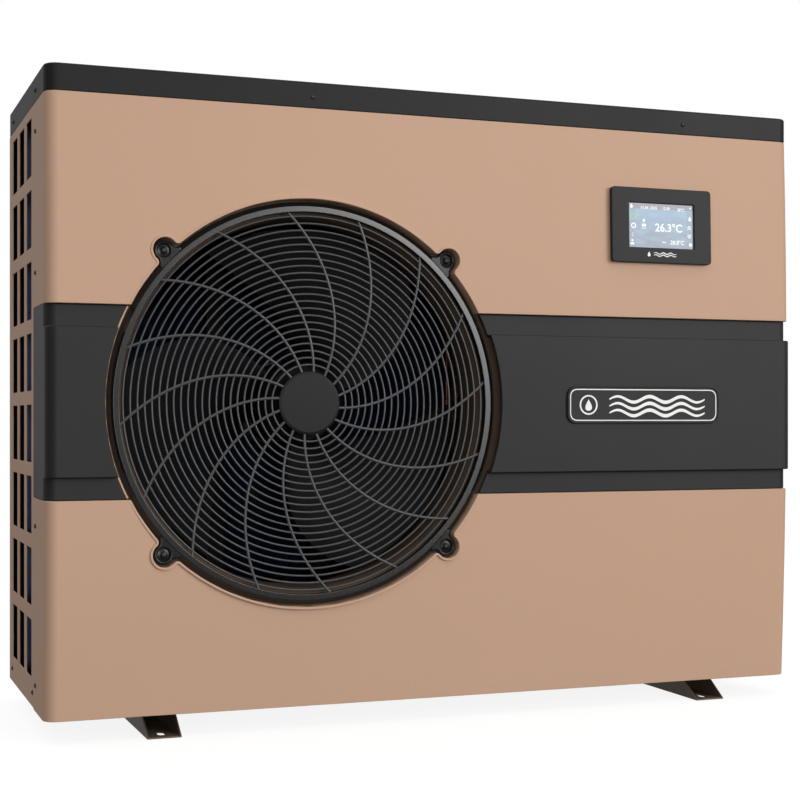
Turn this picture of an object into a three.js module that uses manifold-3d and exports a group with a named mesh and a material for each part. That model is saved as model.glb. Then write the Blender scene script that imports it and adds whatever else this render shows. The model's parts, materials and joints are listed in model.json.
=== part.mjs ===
// Outdoor pool heat pump with one horizontal fan.
// A steel casing on two channel feet holds a finned coil round the back and left side, a fan
// behind a round guard, and, past a partition, the compressor and the water heat exchanger.
//
// Millimetres, +Z up, front towards -Y. Inside `unit`, x runs from the left side's plane, y from
// the lid's front edge into the unit, and z from the floor. `unit` is then moved so that the
// origin is the centre of the footprint, on the floor.

import * as THREE from "three";
import { mergeVertices } from "three/addons/utils/BufferGeometryUtils.js";
import Module from "manifold-3d";

const wasm = await Module();
wasm.setup();

// ---- Driving dimensions -------------------------------------------------------------------

const gap = 0.3; // between faces that touch
const sheet = 1.5; // steel sheet
const wall = 3; // moulded plastic wall

const caseWidth = 1128;
const caseDepth = 380;
const footHeight = 30;
const panelFoot = footHeight; // lower edge of the front panels
const lidTop = panelFoot + 856;
const lidSkirt = 36;
const lidBottom = lidTop - lidSkirt;
const cornerRadius = 18;
const sideWrap = 111; // how far the front panels reach round onto each side

// The front bulges gently: its face is an arc over the whole height.
const bowRadius = 8576;
const bowApexHeight = panelFoot + 480;
const bowApexY = -6.75;
const frontFace = (z) => bowApexY + (z - bowApexHeight) ** 2 / (2 * bowRadius);

// The dark band across the middle: two recessed strips, with a proud panel between them.
const bandBottom = panelFoot + 287.3;
const bandTop = panelFoot + 544;
const bandStrip = 30;
const stripFaceY = 1.5;
const proudFaceY = -11;

// Fan opening.
const fanX = 358.5;
const fanZ = (bandBottom + bandTop) / 2;
const guardRadius = 276;
const guardBand = 14;
const lugCircle = 286;
const lugRadius = 13.5;
const lugFillet = 9;
const pocketGap = 3.4;
const ledgeY = 14; // the guard rests on this face
const throatRadius = 254;
const throatEndY = 78;

// Base and inner layout.
const panBottom = footHeight + 2;
const panFloor = panBottom + sheet;
const innerTop = lidTop - 2 - 4;
const partitionX = 705;
const coilThickness = 44;

// Water connections on the right side: a glued socket for 50 mm pipe, held by a union nut.
const portY = 262;
const inletZ = panelFoot + 130;
const outletZ = panelFoot + 470;
const stubRadius = 33;
const stubBore = 22;
const socketRadius = 25.15;
const tailEnd = caseWidth + 64;

// ---- Geometry helpers ---------------------------------------------------------------------

function asSolid(geometry) {
  const bare = geometry.index ? geometry.toNonIndexed() : geometry.clone();
  bare.deleteAttribute("normal");
  bare.deleteAttribute("uv");
  const merged = mergeVertices(bare, 1e-3);
  return new wasm.Manifold(
    new wasm.Mesh({
      numProp: 3,
      vertProperties: merged.attributes.position.array,
      triVerts: new Uint32Array(merged.index.array),
    }),
  );
}

function asGeometry(solid) {
  const made = solid.getMesh();
  const geometry = new THREE.BufferGeometry();
  geometry.setAttribute("position", new THREE.BufferAttribute(made.vertProperties, 3));
  geometry.setIndex(new THREE.BufferAttribute(made.triVerts, 1));
  return geometry.toNonIndexed();
}

// The solids in `added` joined, less those in `removed`.
function build(added, removed = []) {
  const joined = added.map(asSolid).reduce((a, b) => a.add(b));
  return asGeometry(removed.map(asSolid).reduce((a, b) => a.subtract(b), joined));
}

const common = (a, b) => asGeometry(asSolid(a).intersect(asSolid(b)));

function block(x0, x1, y0, y1, z0, z1) {
  return new THREE.BoxGeometry(x1 - x0, y1 - y0, z1 - z0).translate(
    (x0 + x1) / 2,
    (y0 + y1) / 2,
    (z0 + z1) / 2,
  );
}

// Points along an arc, both ends included.
function arc(cx, cy, radius, from, to, steps) {
  return Array.from({ length: steps + 1 }, (_, i) => {
    const a = from + ((to - from) * i) / steps;
    return new THREE.Vector2(cx + radius * Math.cos(a), cy + radius * Math.sin(a));
  });
}

const upright = (points, z0, z1) =>
  new THREE.ExtrudeGeometry(new THREE.Shape(points), {
    depth: z1 - z0,
    bevelEnabled: false,
  }).translate(0, 0, z0);

// An outline in x and z, extruded along y.
const facing = (points, y0, y1) =>
  new THREE.ExtrudeGeometry(new THREE.Shape(points), {
    depth: y1 - y0,
    bevelEnabled: false,
  })
    .rotateX(Math.PI / 2)
    .translate(0, y1, 0);

// An outline in y and z, extruded along x.
const sideways = (points, x0, x1) =>
  new THREE.ExtrudeGeometry(new THREE.Shape(points), { depth: x1 - x0, bevelEnabled: false })
    .applyMatrix4(
      new THREE.Matrix4().makeBasis(
        new THREE.Vector3(0, 1, 0),
        new THREE.Vector3(0, 0, 1),
        new THREE.Vector3(1, 0, 0),
      ),
    )
    .translate(x0, 0, 0);

const disc = (radius, steps, cx = 0, cy = 0) =>
  arc(cx, cy, radius, 0, 2 * Math.PI, steps).slice(0, -1);

// Cylinders along each axis, from one end to the other.
const alongX = (radius, x0, x1, steps = 32) => sideways(disc(radius, steps), x0, x1);
const alongY = (radius, y0, y1, steps = 32) => facing(disc(radius, steps), y0, y1);
const alongZ = (radius, z0, z1, steps = 32) => upright(disc(radius, steps), z0, z1);

// A profile of [radius, height] pairs turned about an axis. It either closes on itself, or
// starts and ends on the axis.
function turned(profile, steps = 32, axis = "y") {
  const outline = profile.map(([r, h]) => new THREE.Vector2(r, h));
  if (THREE.ShapeUtils.isClockWise(outline)) outline.reverse();
  const onAxis = outline[0].x === 0 && outline.at(-1).x === 0;
  const geometry = new THREE.LatheGeometry(onAxis ? outline : [...outline, outline[0]], steps);
  if (axis === "z") geometry.rotateX(Math.PI / 2);
  if (axis === "x") geometry.rotateZ(-Math.PI / 2);
  return geometry;
}

// A round bar or pipe along a smooth curve through the points.
function pipe(points, radius, steps = 20, sides = 10) {
  const curve = new THREE.CatmullRomCurve3(points.map((p) => new THREE.Vector3(...p)));
  return new THREE.ExtrudeGeometry(new THREE.Shape(disc(radius, sides)), {
    steps,
    extrudePath: curve,
    bevelEnabled: false,
  });
}

function roundedBox(width, height, radius, steps = 4) {
  const x = width / 2 - radius;
  const y = height / 2 - radius;
  const quarter = Math.PI / 2;
  return [
    ...arc(x, y, radius, 0, quarter, steps),
    ...arc(-x, y, radius, quarter, 2 * quarter, steps),
    ...arc(-x, -y, radius, 2 * quarter, 3 * quarter, steps),
    ...arc(x, -y, radius, 3 * quarter, 4 * quarter, steps),
  ];
}

// A solid through closed loops of points, each loop with the same number of points.
function loft(loops) {
  const size = loops[0].length;
  const index = [];
  for (let k = 0; k + 1 < loops.length; k++)
    for (let i = 0; i < size; i++) {
      const a = k * size + i;
      const b = k * size + ((i + 1) % size);
      index.push(a, b, b + size, a, b + size, a + size);
    }
  const last = (loops.length - 1) * size;
  for (let i = 1; i + 1 < size; i++) {
    index.push(0, i + 1, i);
    index.push(last, last + i, last + i + 1);
  }
  const geometry = new THREE.BufferGeometry();
  const flat = loops.flat().flatMap((p) => [p.x, p.y, p.z]);
  geometry.setAttribute("position", new THREE.Float32BufferAttribute(flat, 3));
  geometry.setIndex(index);
  return geometry;
}

// A solid between two grids of points, back and front. Both are cut along the same diagonals, so
// that a thin wall keeps its thickness.
function slab(back, front) {
  const rows = back.length;
  const columns = back[0].length;
  const at = (side, i, j) => (side * rows + i) * columns + j;
  const index = [];
  const quad = (a, b, c, d) => index.push(a, b, c, a, c, d);
  for (let i = 0; i + 1 < rows; i++)
    for (let j = 0; j + 1 < columns; j++) {
      quad(at(0, i, j), at(0, i, j + 1), at(0, i + 1, j + 1), at(0, i + 1, j));
      quad(at(1, i + 1, j + 1), at(1, i, j + 1), at(1, i, j), at(1, i + 1, j));
    }
  for (let j = 0; j + 1 < columns; j++) {
    const last = rows - 1;
    quad(at(0, 0, j), at(1, 0, j), at(1, 0, j + 1), at(0, 0, j + 1));
    quad(at(0, last, j), at(0, last, j + 1), at(1, last, j + 1), at(1, last, j));
  }
  for (let i = 0; i + 1 < rows; i++) {
    const last = columns - 1;
    quad(at(0, i, 0), at(0, i + 1, 0), at(1, i + 1, 0), at(1, i, 0));
    quad(at(0, i, last), at(1, i, last), at(1, i + 1, last), at(0, i + 1, last));
  }
  const geometry = new THREE.BufferGeometry();
  const flat = [back, front].flat(2).flatMap((p) => [p.x, p.y, p.z]);
  geometry.setAttribute("position", new THREE.Float32BufferAttribute(flat, 3));
  geometry.setIndex(index);
  return geometry;
}

// ---- Materials ----------------------------------------------------------------------------

const finish = (color, roughness, metalness) =>
  new THREE.MeshStandardMaterial({ color, roughness, metalness });
const copperPaint = finish(0xb8957d, 0.42, 0.35);
const darkPlastic = finish(0x3a3a3b, 0.5, 0);
const blackPlastic = finish(0x141415, 0.45, 0);
const darkPaint = finish(0x3c3c3d, 0.45, 0.2);
const brownPaint = finish(0x4a3b31, 0.45, 0.3);
const zincSteel = finish(0xa9adb0, 0.4, 0.9);
const blackEnamel = finish(0x1a1a1c, 0.35, 0.3);
const finBlue = finish(0x2a3f66, 0.45, 0.6);
const copperMetal = finish(0xb46a3c, 0.35, 1);
const brassMetal = finish(0xb99a4b, 0.35, 1);
const greyPlastic = finish(0x6f7376, 0.5, 0);
const whitePlastic = finish(0xe4e4e0, 0.5, 0);
const rubber = finish(0x1b1b1b, 0.9, 0);
const boardGreen = finish(0x1f5a3a, 0.5, 0.1);
const screenGlass = finish(0x6f8797, 0.1, 0);
const clearGlass = finish(0xdfe8ea, 0.05, 0);

const heatPump = new THREE.Group();
const unit = new THREE.Group();
heatPump.add(unit);

function add(parent, name, geometry, material, position = [0, 0, 0]) {
  const mesh = new THREE.Mesh(geometry, material);
  mesh.name = name;
  mesh.position.set(...position);
  parent.add(mesh);
  return mesh;
}

function groupAt(parent, x, y, z) {
  const group = new THREE.Group();
  group.position.set(x, y, z);
  parent.add(group);
  return group;
}

// ---- Front panels -------------------------------------------------------------------------

// The casing's plan, filled back to `backY`, with its front face at `faceY`, `inset` inwards.
function casePlan(faceY, backY, inset) {
  const r = cornerRadius - inset;
  const right = caseWidth - inset;
  const front = faceY + inset;
  const steps = 5;
  return [
    ...arc(inset + r, front + r, r, Math.PI, 1.5 * Math.PI, steps),
    ...arc(right - r, front + r, r, 1.5 * Math.PI, 2 * Math.PI, steps),
    new THREE.Vector2(right, backY),
    new THREE.Vector2(inset, backY),
  ];
}

function bowedSolid(z0, z1, backY, inset) {
  const levels = 3;
  return loft(
    Array.from({ length: levels + 1 }, (_, k) => {
      const z = z0 + ((z1 - z0) * k) / levels;
      return casePlan(frontFace(z), backY, inset).map((p) => new THREE.Vector3(p.x, p.y, z));
    }),
  );
}

// The outline of the guard and its four lugs, grown by `margin`, about the fan's axis.
function lobedOutline(margin) {
  const R = guardRadius + margin;
  const g = lugRadius + margin;
  const f = lugFillet - margin;
  const half = Math.acos(
    ((R + f) ** 2 + lugCircle ** 2 - (g + f) ** 2) / (2 * (R + f) * lugCircle),
  );
  const points = [];
  for (let k = 0; k < 4; k++) {
    const phi = Math.PI / 4 + (k * Math.PI) / 2;
    const lug = new THREE.Vector2(Math.cos(phi), Math.sin(phi)).multiplyScalar(lugCircle);
    const fillet = (side) =>
      new THREE.Vector2(Math.cos(phi + side * half), Math.sin(phi + side * half)).multiplyScalar(
        R + f,
      );
    const before = fillet(-1);
    const after = fillet(1);
    const inBefore = phi - half + Math.PI;
    const toLug = lug.clone().sub(before).angle();
    const outAfter = lug.clone().sub(after).angle();
    const lugStart = before.clone().sub(lug).angle();
    const lugEnd = after.clone().sub(lug).angle();
    const sweep = (lugEnd - lugStart + 2 * Math.PI) % (2 * Math.PI);
    const turn = (from, to) => from - ((from - to + 2 * Math.PI) % (2 * Math.PI));
    points.push(...arc(before.x, before.y, f, inBefore, turn(inBefore, toLug), 3));
    points.push(...arc(lug.x, lug.y, g, lugStart, lugStart + sweep, 6).slice(1));
    const inAfter = phi + half + Math.PI;
    points.push(...arc(after.x, after.y, f, outAfter, turn(outAfter, inAfter), 3).slice(1));
    const next = phi + Math.PI / 2 - half;
    points.push(...arc(0, 0, R, phi + half, next, 10).slice(1, -1));
  }
  return points;
}

// Controller opening in the upper panel, just under the lid at the right.
const controllerX = 899.5;
const controllerZ = panelFoot + 680;
const bezelWidth = 167;
const bezelHeight = 111;
const housingWidth = 140;
const housingHeight = 88;

// A bowed sheet with returns round both sides, a lip round the guard's pocket, and a flange
// folded in along the edge `flangeZ` that meets the dark band.
const flangeDepth = 16;

function copperPanel(z0, z1, flangeZ) {
  const around = (points, y0, y1) => facing(points, y0, y1).translate(fanX, 0, fanZ);
  const outer = bowedSolid(z0, z1, sideWrap, 0);
  const clear = (edge) => (edge === flangeZ ? -wall : 1);
  const shell = build(
    [outer],
    [
      bowedSolid(z0 - clear(z0), z1 + clear(z1), sideWrap + 1, wall),
      bowedSolid(z0 - 1, z1 + 1, sideWrap + 1, flangeDepth),
    ],
  );
  const lip = common(outer, around(lobedOutline(pocketGap + wall), -20, ledgeY - gap));
  const controllerHole = block(
    controllerX - housingWidth / 2 - 1,
    controllerX + housingWidth / 2 + 1,
    -20,
    20,
    controllerZ - housingHeight / 2 - 1,
    controllerZ + housingHeight / 2 + 1,
  );
  return build([shell, lip], [around(lobedOutline(pocketGap), -20, 40), controllerHole]);
}

add(unit, "upper_front_panel", copperPanel(bandTop, lidBottom - gap, bandTop), copperPaint);
add(unit, "lower_front_panel", copperPanel(panelFoot, bandBottom, bandBottom), copperPaint);

// ---- Dark band ----------------------------------------------------------------------------

const rimRadius = guardRadius + pocketGap; // copper rim round the guard's pocket
const rimWall = 2.6;

function bandShell() {
  const levels = [
    [bandBottom + gap, bandBottom + bandStrip, stripFaceY],
    [bandBottom + bandStrip, bandTop - bandStrip, proudFaceY],
    [bandTop - bandStrip, bandTop - gap, stripFaceY],
  ];
  const outer = levels.map(([z0, z1, y]) => upright(casePlan(y, sideWrap, 0), z0, z1));
  const inner = [
    upright(casePlan(stripFaceY, sideWrap + 1, wall), bandBottom, bandTop),
    upright(
      casePlan(proudFaceY, sideWrap + 1, wall),
      bandBottom + bandStrip + wall,
      bandTop - bandStrip - wall,
    ),
  ];
  return build(outer, inner);
}

function bandHalf(keepFrom, keepTo) {
  const keep = block(keepFrom, keepTo, -50, sideWrap + 5, bandBottom - 5, bandTop + 5);
  const ring = (radius, y0, y1) => alongY(radius, y0, y1, 64).translate(fanX, 0, fanZ);
  const half = common(bandShell(), keep);
  return build([half], [ring(rimRadius + rimWall + gap, -20, 60)]);
}

add(unit, "band_left", bandHalf(-5, fanX), darkPlastic);
add(unit, "band_right", bandHalf(fanX, caseWidth + 5), darkPlastic);

const badgeWidth = 252;
const badgeHeight = 54.5;
const badge = build(
  [facing(roundedBox(badgeWidth, badgeHeight, 16), -3, 0)],
  [facing(roundedBox(badgeWidth - 7, badgeHeight - 7, 12.5), -4, -2)],
);
add(unit, "name_badge", badge, darkPlastic, [869, proudFaceY - gap, panelFoot + 414.5]);

// ---- Fan section --------------------------------------------------------------------------

const fanSection = groupAt(unit, fanX, 0, fanZ);
const lugAngles = [0, 1, 2, 3].map((k) => Math.PI / 4 + (k * Math.PI) / 2);
const atLug = (angle, y) => [lugCircle * Math.cos(angle), y, lugCircle * Math.sin(angle)];
const screwHole = 2.4;

function sectorRing(inner, outer, centre, half, y0, y1) {
  return facing(
    [
      ...arc(0, 0, outer, centre - half, centre + half, 14),
      ...arc(0, 0, inner, centre + half, centre - half, 14),
    ],
    y0,
    y1,
  );
}

function airRing() {
  const ledgeOuter = lugCircle + 17;
  const throatWall = 2;
  const section = [
    [ledgeOuter, ledgeY],
    [ledgeOuter, ledgeY + 2],
    [throatRadius + 10, ledgeY + 2],
    [throatRadius + throatWall, ledgeY + 18],
    [throatRadius + throatWall, throatEndY],
    [throatRadius, throatEndY],
    [throatRadius, ledgeY + 16],
    [throatRadius + 8, ledgeY],
  ];
  const ring = turned(section, 40);
  const rimHalf = Math.asin((bandTop - fanZ - gap) / (rimRadius + rimWall)) - 0.004;
  const rims = [0, Math.PI].map((centre) =>
    sectorRing(rimRadius, rimRadius + rimWall, centre, rimHalf, stripFaceY + 1.5, ledgeY + 0.5),
  );
  const holes = lugAngles.map((a) =>
    alongY(screwHole, ledgeY - 5, ledgeY + 5, 8).translate(...atLug(a, 0)),
  );
  return build([ring, ...rims], holes);
}
add(fanSection, "air_ring", airRing(), copperPaint);

// The guard: outer band with lugs, thin rings, curved ribs and a hub disc.
const guardFrontY = 2;
const ringPitch = 19.4;
const ringCount = 11;
const outerRing = 256.3;
const ribCount = 16;
const hubDisc = 43.3;

const wireFrontY = 5.2;
const wireBackY = 8.4;
const ribProud = 0.6; // the ribs stand out past the rings, front and back
const ribOuterR = guardRadius - guardBand + 2;
const ribInnerR = hubDisc - 3;
const ribLean = 0.667; // radians a rib turns through between the band and the hub
const ribEndAngle = 1.688;
const ribAngle = (index, r) =>
  ribEndAngle +
  (index * 2 * Math.PI) / ribCount -
  (ribLean * (ribOuterR - r)) / (ribOuterR - ribInnerR);

function guardRib(index) {
  const halfWidth = 1.7;
  const steps = 6;
  const spine = Array.from({ length: steps + 1 }, (_, i) => {
    const r = ribOuterR + ((ribInnerR - ribOuterR) * i) / steps;
    const a = ribAngle(index, r);
    return new THREE.Vector2(r * Math.cos(a), r * Math.sin(a));
  });
  const offset = (i, side) => {
    const along = spine[Math.min(i + 1, steps)].clone().sub(spine[Math.max(i - 1, 0)]).normalize();
    return spine[i].clone().add(new THREE.Vector2(-along.y, along.x).multiplyScalar(side));
  };
  const left = spine.map((_, i) => offset(i, halfWidth));
  const right = spine.map((_, i) => offset(i, -halfWidth));
  return facing([...right, ...left.reverse()], wireFrontY - ribProud, wireBackY + ribProud);
}

// A ring's corners fall inside the ribs that cross it.
function guardRing(r) {
  const half = 1.3;
  const section = [
    [r - half, wireFrontY],
    [r + half, wireFrontY],
    [r + half, wireBackY],
    [r - half, wireBackY],
  ];
  return turned(section, r > 200 ? 2 * ribCount : ribCount).rotateY(-ribAngle(0, r));
}

function fanGuard() {
  const back = ledgeY - gap;
  const band = build(
    [facing(lobedOutline(0), guardFrontY, back)],
    [
      alongY(guardRadius - guardBand, -5, 20, 48),
      ...lugAngles.map((a) => alongY(screwHole, -5, 20, 8).translate(...atLug(a, 0))),
    ],
  );
  const rings = Array.from({ length: ringCount }, (_, k) => guardRing(outerRing - k * ringPitch));
  const ribs = Array.from({ length: ribCount }, (_, k) => guardRib(k));
  return build([band, ...rings, ...ribs, alongY(hubDisc, wireFrontY - 1, wireBackY + 1, 24)]);
}
add(fanSection, "fan_guard", fanGuard(), blackPlastic);

const panScrew = (head, shank, length) =>
  turned(
    [
      [0, -0.45 * head],
      [0.7 * head, -0.4 * head],
      [head, 0],
      [shank, 0],
      [shank, length],
      [0, length],
    ],
    8,
  );
lugAngles.forEach((angle, k) => {
  const y = guardFrontY - gap;
  add(fanSection, `guard_screw_${k + 1}`, panScrew(4.6, 2, 14), zincSteel, atLug(angle, y));
});

// The fan: a hub with three wide swept blades, on the motor's shaft.
const hubFrontY = 40;
const hubBackY = 112;
const hubRadius = 60;
const shaftRadius = 6;

function fanBlade(turn) {
  const stations = 5;
  const across = 5;
  const halfThickness = 1.6;
  const side = (sign) =>
    Array.from({ length: stations + 1 }, (_, i) => {
      const t = i / stations;
      const r = 54 + (246 - 54) * t;
      const start = turn + 0.55 * t * t; // leading edge sweeps forward towards the tip
      const span = 1.05 + 0.35 * Math.sin(Math.PI * Math.min(t * 0.8, 1));
      const rise = 52 - 8 * t;
      return Array.from({ length: across + 1 }, (_, j) => {
        const u = j / across;
        const a = start + span * u;
        const edge = 0.35 + 0.65 * Math.sin(Math.PI * u);
        const y = 52 + rise * u - 9 * Math.sin(Math.PI * u) + sign * halfThickness * edge;
        return new THREE.Vector3(r * Math.cos(a), y, r * Math.sin(a));
      });
    });
  return slab(side(1), side(-1));
}

function propeller() {
  const hub = turned(
    [
      [0, hubFrontY],
      [hubRadius - 8, hubFrontY],
      [hubRadius, hubFrontY + 8],
      [hubRadius, hubBackY],
      [hubRadius - 5, hubBackY],
      [hubRadius - 5, hubFrontY + 12],
      [16, hubFrontY + 12],
      [16, hubBackY - 5],
      [0, hubBackY - 5],
    ],
    24,
  );
  const blades = [0, 1, 2].map((k) => fanBlade((k * 2 * Math.PI) / 3 + 0.3));
  return build([hub, ...blades], [alongY(shaftRadius + gap, 0, 200, 16)]);
}
add(fanSection, "fan_propeller", propeller(), blackPlastic);

const motorFrontY = 122;
const motorBackY = 214;
const shaftTip = hubFrontY - 8;
add(fanSection, "motor_shaft", alongY(shaftRadius, shaftTip, motorFrontY + 40, 16), zincSteel);
const fanNut = build(
  [
    alongY(11, hubFrontY - 9, hubFrontY - gap, 6),
    alongY(14, hubFrontY - 2.5, hubFrontY - gap, 20),
  ],
  [alongY(shaftRadius + gap, 0, 60, 16)],
);
add(fanSection, "fan_nut", fanNut, zincSteel);

const motor = build(
  [
    turned(
      [
        [0, motorFrontY],
        [24, motorFrontY],
        [26, motorFrontY + 10],
        [56, motorFrontY + 14],
        [62, motorFrontY + 22],
        [62, motorBackY - 10],
        [54, motorBackY],
        [0, motorBackY],
      ],
      20,
    ),
    ...[-1, 1].map((s) => block(-92, 92, motorBackY - 4, motorBackY, s * 30 - 9, s * 30 + 9)),
  ],
  [alongY(shaftRadius + 1, motorFrontY - 5, motorFrontY + 42, 16)],
);
add(fanSection, "fan_motor", motor, blackEnamel);

// Two upright rails, tied by cross straps that the motor's ears bolt to.
function motorBracket() {
  const low = panFloor + gap - fanZ;
  const high = innerTop - 2 - fanZ;
  const railY = motorBackY + gap;
  const rails = [-1, 1].flatMap((s) => [
    block(s * 80 - 14, s * 80 + 14, railY + 2, railY + 4, low, high),
    block(s * 80 - 14, s * 80 - 12, railY + 2, railY + 22, low, high),
    block(s * 80 + 12, s * 80 + 14, railY + 2, railY + 22, low, high),
  ]);
  const straps = [-1, 1].map((s) =>
    block(-94, 94, railY, railY + 2.5, s * 30 - 14, s * 30 + 14),
  );
  const feet = [low, high - 2].map((z) => block(-94, 94, railY + 2, railY + 22, z, z + 2));
  return build([...rails, ...straps, ...feet]);
}
add(fanSection, "motor_bracket", motorBracket(), zincSteel);

// ---- Casing -------------------------------------------------------------------------------

function lidPlan(inset) {
  const front = cornerRadius - inset;
  const rear = 5 - Math.min(inset, 4);
  const right = caseWidth - inset;
  const back = caseDepth - inset;
  const q = Math.PI / 2;
  return [
    ...arc(inset + front, inset + front, front, 2 * q, 3 * q, 5),
    ...arc(right - front, inset + front, front, 3 * q, 4 * q, 5),
    ...arc(right - rear, back - rear, rear, 0, q, 2),
    ...arc(inset + rear, back - rear, rear, q, 2 * q, 2),
  ];
}

const lidWall = 2;
const lidScrews = [362, 942].map((x) => [x, -gap, lidBottom + 15]);
const topCover = build(
  [
    upright(lidPlan(0), lidBottom, lidTop - lidWall),
    loft([
      lidPlan(0).map((p) => new THREE.Vector3(p.x, p.y, lidTop - lidWall)),
      lidPlan(lidWall).map((p) => new THREE.Vector3(p.x, p.y, lidTop)),
    ]),
  ],
  [
    upright(lidPlan(lidWall), lidBottom - 5, lidTop - lidWall - 0.5),
    ...lidScrews.map(([x, , z]) => facing(disc(1.8, 12, x, z), -5, 10)),
  ],
);
add(unit, "top_cover", topCover, darkPaint);
lidScrews.forEach((at, k) => {
  add(unit, `lid_screw_${k + 1}`, panScrew(3, 1.4, 8), blackEnamel, at);
});

// Side and rear grilles share one window size, eight rows of them.
const windowHeight = 79;
const windowRowPitch = 98.1;
const windowRows = 8;
const firstRow = panelFoot + 40.2;
const windowWidth = 56;
const windowPitch = 78;
const sideWindowStart = 130.5;
const panelBottom = footHeight + 2;
const panelTop = lidBottom - gap;
const foldBottom = panelBottom + 30; // folded edges stop above the base pan's rim

function windows(first, count, cut) {
  const found = [];
  for (let row = 0; row < windowRows; row++)
    for (let column = 0; column < count; column++) {
      const a = first + column * windowPitch;
      const z = firstRow + row * windowRowPitch;
      found.push(cut(a, a + windowWidth, z, z + windowHeight));
    }
  return found;
}

function leftGrille() {
  const cutters = windows(sideWindowStart, 3, (y0, y1, z0, z1) =>
    block(-2, 4, y0, y1, z0, z1),
  );
  const face = block(0, sheet, sideWrap + gap, caseDepth - sheet - gap, panelBottom, panelTop);
  const foldIn = block(0, 14, sideWrap + gap, sideWrap + gap + sheet, foldBottom, panelTop);
  return build([face, foldIn], cutters);
}
add(unit, "left_side_grille", leftGrille(), copperPaint);

const rearSplitX = partitionX - 4;
const rearWindowStart = 46;

function rearGrille() {
  const cutters = windows(rearWindowStart, 8, (x0, x1, z0, z1) =>
    block(x0, x1, caseDepth - 4, caseDepth + 2, z0, z1),
  );
  const back = block(0, rearSplitX, caseDepth - sheet, caseDepth, panelBottom, panelTop);
  return build([back], cutters);
}
add(unit, "rear_grille", rearGrille(), copperPaint);

const rearPanelLeft = rearSplitX + gap;
const rearPanel = build([
  block(rearPanelLeft, caseWidth, caseDepth - sheet, caseDepth, panelBottom, panelTop),
  block(
    rearPanelLeft,
    rearPanelLeft + sheet,
    caseDepth - 14,
    caseDepth - sheet / 2,
    foldBottom,
    panelTop - 4,
  ),
]);
add(unit, "rear_service_panel", rearPanel, copperPaint);

// Right side: holes for the two water stubs, the gauge and the two cable glands.
const gaugeY = 175;
const gaugeZ = panelFoot + 690;
const gaugeRadius = 32;
const glandYs = [250, 300];
const glandZ = panelFoot + 566;
const glandHole = 10.5;
const sideX = caseWidth;

function rightPanel() {
  const front = sideWrap + gap;
  const back = caseDepth - sheet - gap;
  return build(
    [
      block(sideX - sheet, sideX, front, back, panelBottom, panelTop),
      block(sideX - 14, sideX, front, front + sheet, foldBottom, panelTop),
    ],
    [
      ...[inletZ, outletZ].map((z) =>
        alongX(stubRadius + 1.5, sideX - 5, sideX + 5, 24).translate(0, portY, z),
      ),
      alongX(6, sideX - 5, sideX + 5, 12).translate(0, gaugeY, gaugeZ),
      ...glandYs.map((y) => alongX(glandHole, sideX - 5, sideX + 5, 14).translate(0, y, glandZ)),
    ],
  );
}
add(unit, "right_side_panel", rightPanel(), copperPaint);

// Base pan: a tray whose rim stands inside the panels, with a drain hole.
const panInset = wall + gap;
const panFrontY = 14;
const panRim = 26;
const drainX = 300;
const drainY = 190;
const panBackY = caseDepth - sheet - 1;
const panChamfer = 14; // keeps the front corners clear of the rounded panels

function panPlan(inset) {
  const left = panInset + inset;
  const right = caseWidth - panInset - inset;
  const front = panFrontY + inset;
  const back = panBackY - inset;
  return [
    [left + panChamfer, front],
    [right - panChamfer, front],
    [right, front + panChamfer],
    [right, back],
    [left, back],
    [left, front + panChamfer],
  ].map(([x, y]) => new THREE.Vector2(x, y));
}

const basePan = build(
  [upright(panPlan(0), panBottom, panBottom + panRim)],
  [
    upright(panPlan(sheet), panFloor, panBottom + panRim + 1),
    alongZ(10.5, panBottom - 5, panFloor + 5, 14).translate(drainX, drainY, 0),
  ],
);
add(unit, "base_pan", basePan, brownPaint);

// Feet: channels open at the top, ends cut on a slant, with a bolt slot near each end.
const footWidth = 46.5;
const footLength = 376;
const footFrontY = 2;
const slotWidth = 10;
const slotLength = 22;

function foot() {
  const half = footWidth / 2;
  const slant = 46;
  const top = footHeight + 2 - gap;
  const sideOutline = [
    new THREE.Vector2(0, 0),
    new THREE.Vector2(footLength, 0),
    new THREE.Vector2(footLength, 2),
    new THREE.Vector2(footLength - slant, top),
    new THREE.Vector2(slant, top),
    new THREE.Vector2(0, 2),
  ];
  const flange = (x0, x1) => block(x0, x1, slant + 6, footLength - slant - 6, top - 2, top);
  const slot = (y) =>
    new THREE.ExtrudeGeometry(new THREE.Shape(roundedBox(slotWidth, slotLength, 4.9, 4)), {
      depth: 10,
      bevelEnabled: false,
    }).translate(0, y, -4);
  return build(
    [
      sideways(sideOutline, -half, -half + 2),
      sideways(sideOutline, half - 2, half),
      block(-half, half, 0, footLength, 0, 2),
      flange(-half - 14, -half + 1),
      flange(half - 1, half + 14),
    ],
    [slot(26), slot(footLength - 26)],
  );
}
add(unit, "foot_left", foot(), brownPaint, [157, footFrontY, 0]);
add(unit, "foot_right", foot(), brownPaint, [990, footFrontY, 0]);

const drainSpout = turned(
  [
    [7, -22],
    [9.5, -22],
    [9.5, sheet + gap],
    [15, sheet + gap],
    [15, sheet + 3],
    [7, sheet + 3],
  ],
  14,
  "z",
);
add(unit, "drain_spout", drainSpout, blackPlastic, [drainX, drainY, panBottom]);

const partition = build([
  block(partitionX, partitionX + sheet, 18, caseDepth - 20, panFloor + gap, innerTop - 2),
  block(partitionX, partitionX + 16, 18, 18 + sheet, panFloor + gap, innerTop - 2),
]);
add(unit, "partition_plate", partition, zincSteel);

// ---- Coil ---------------------------------------------------------------------------------

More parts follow.
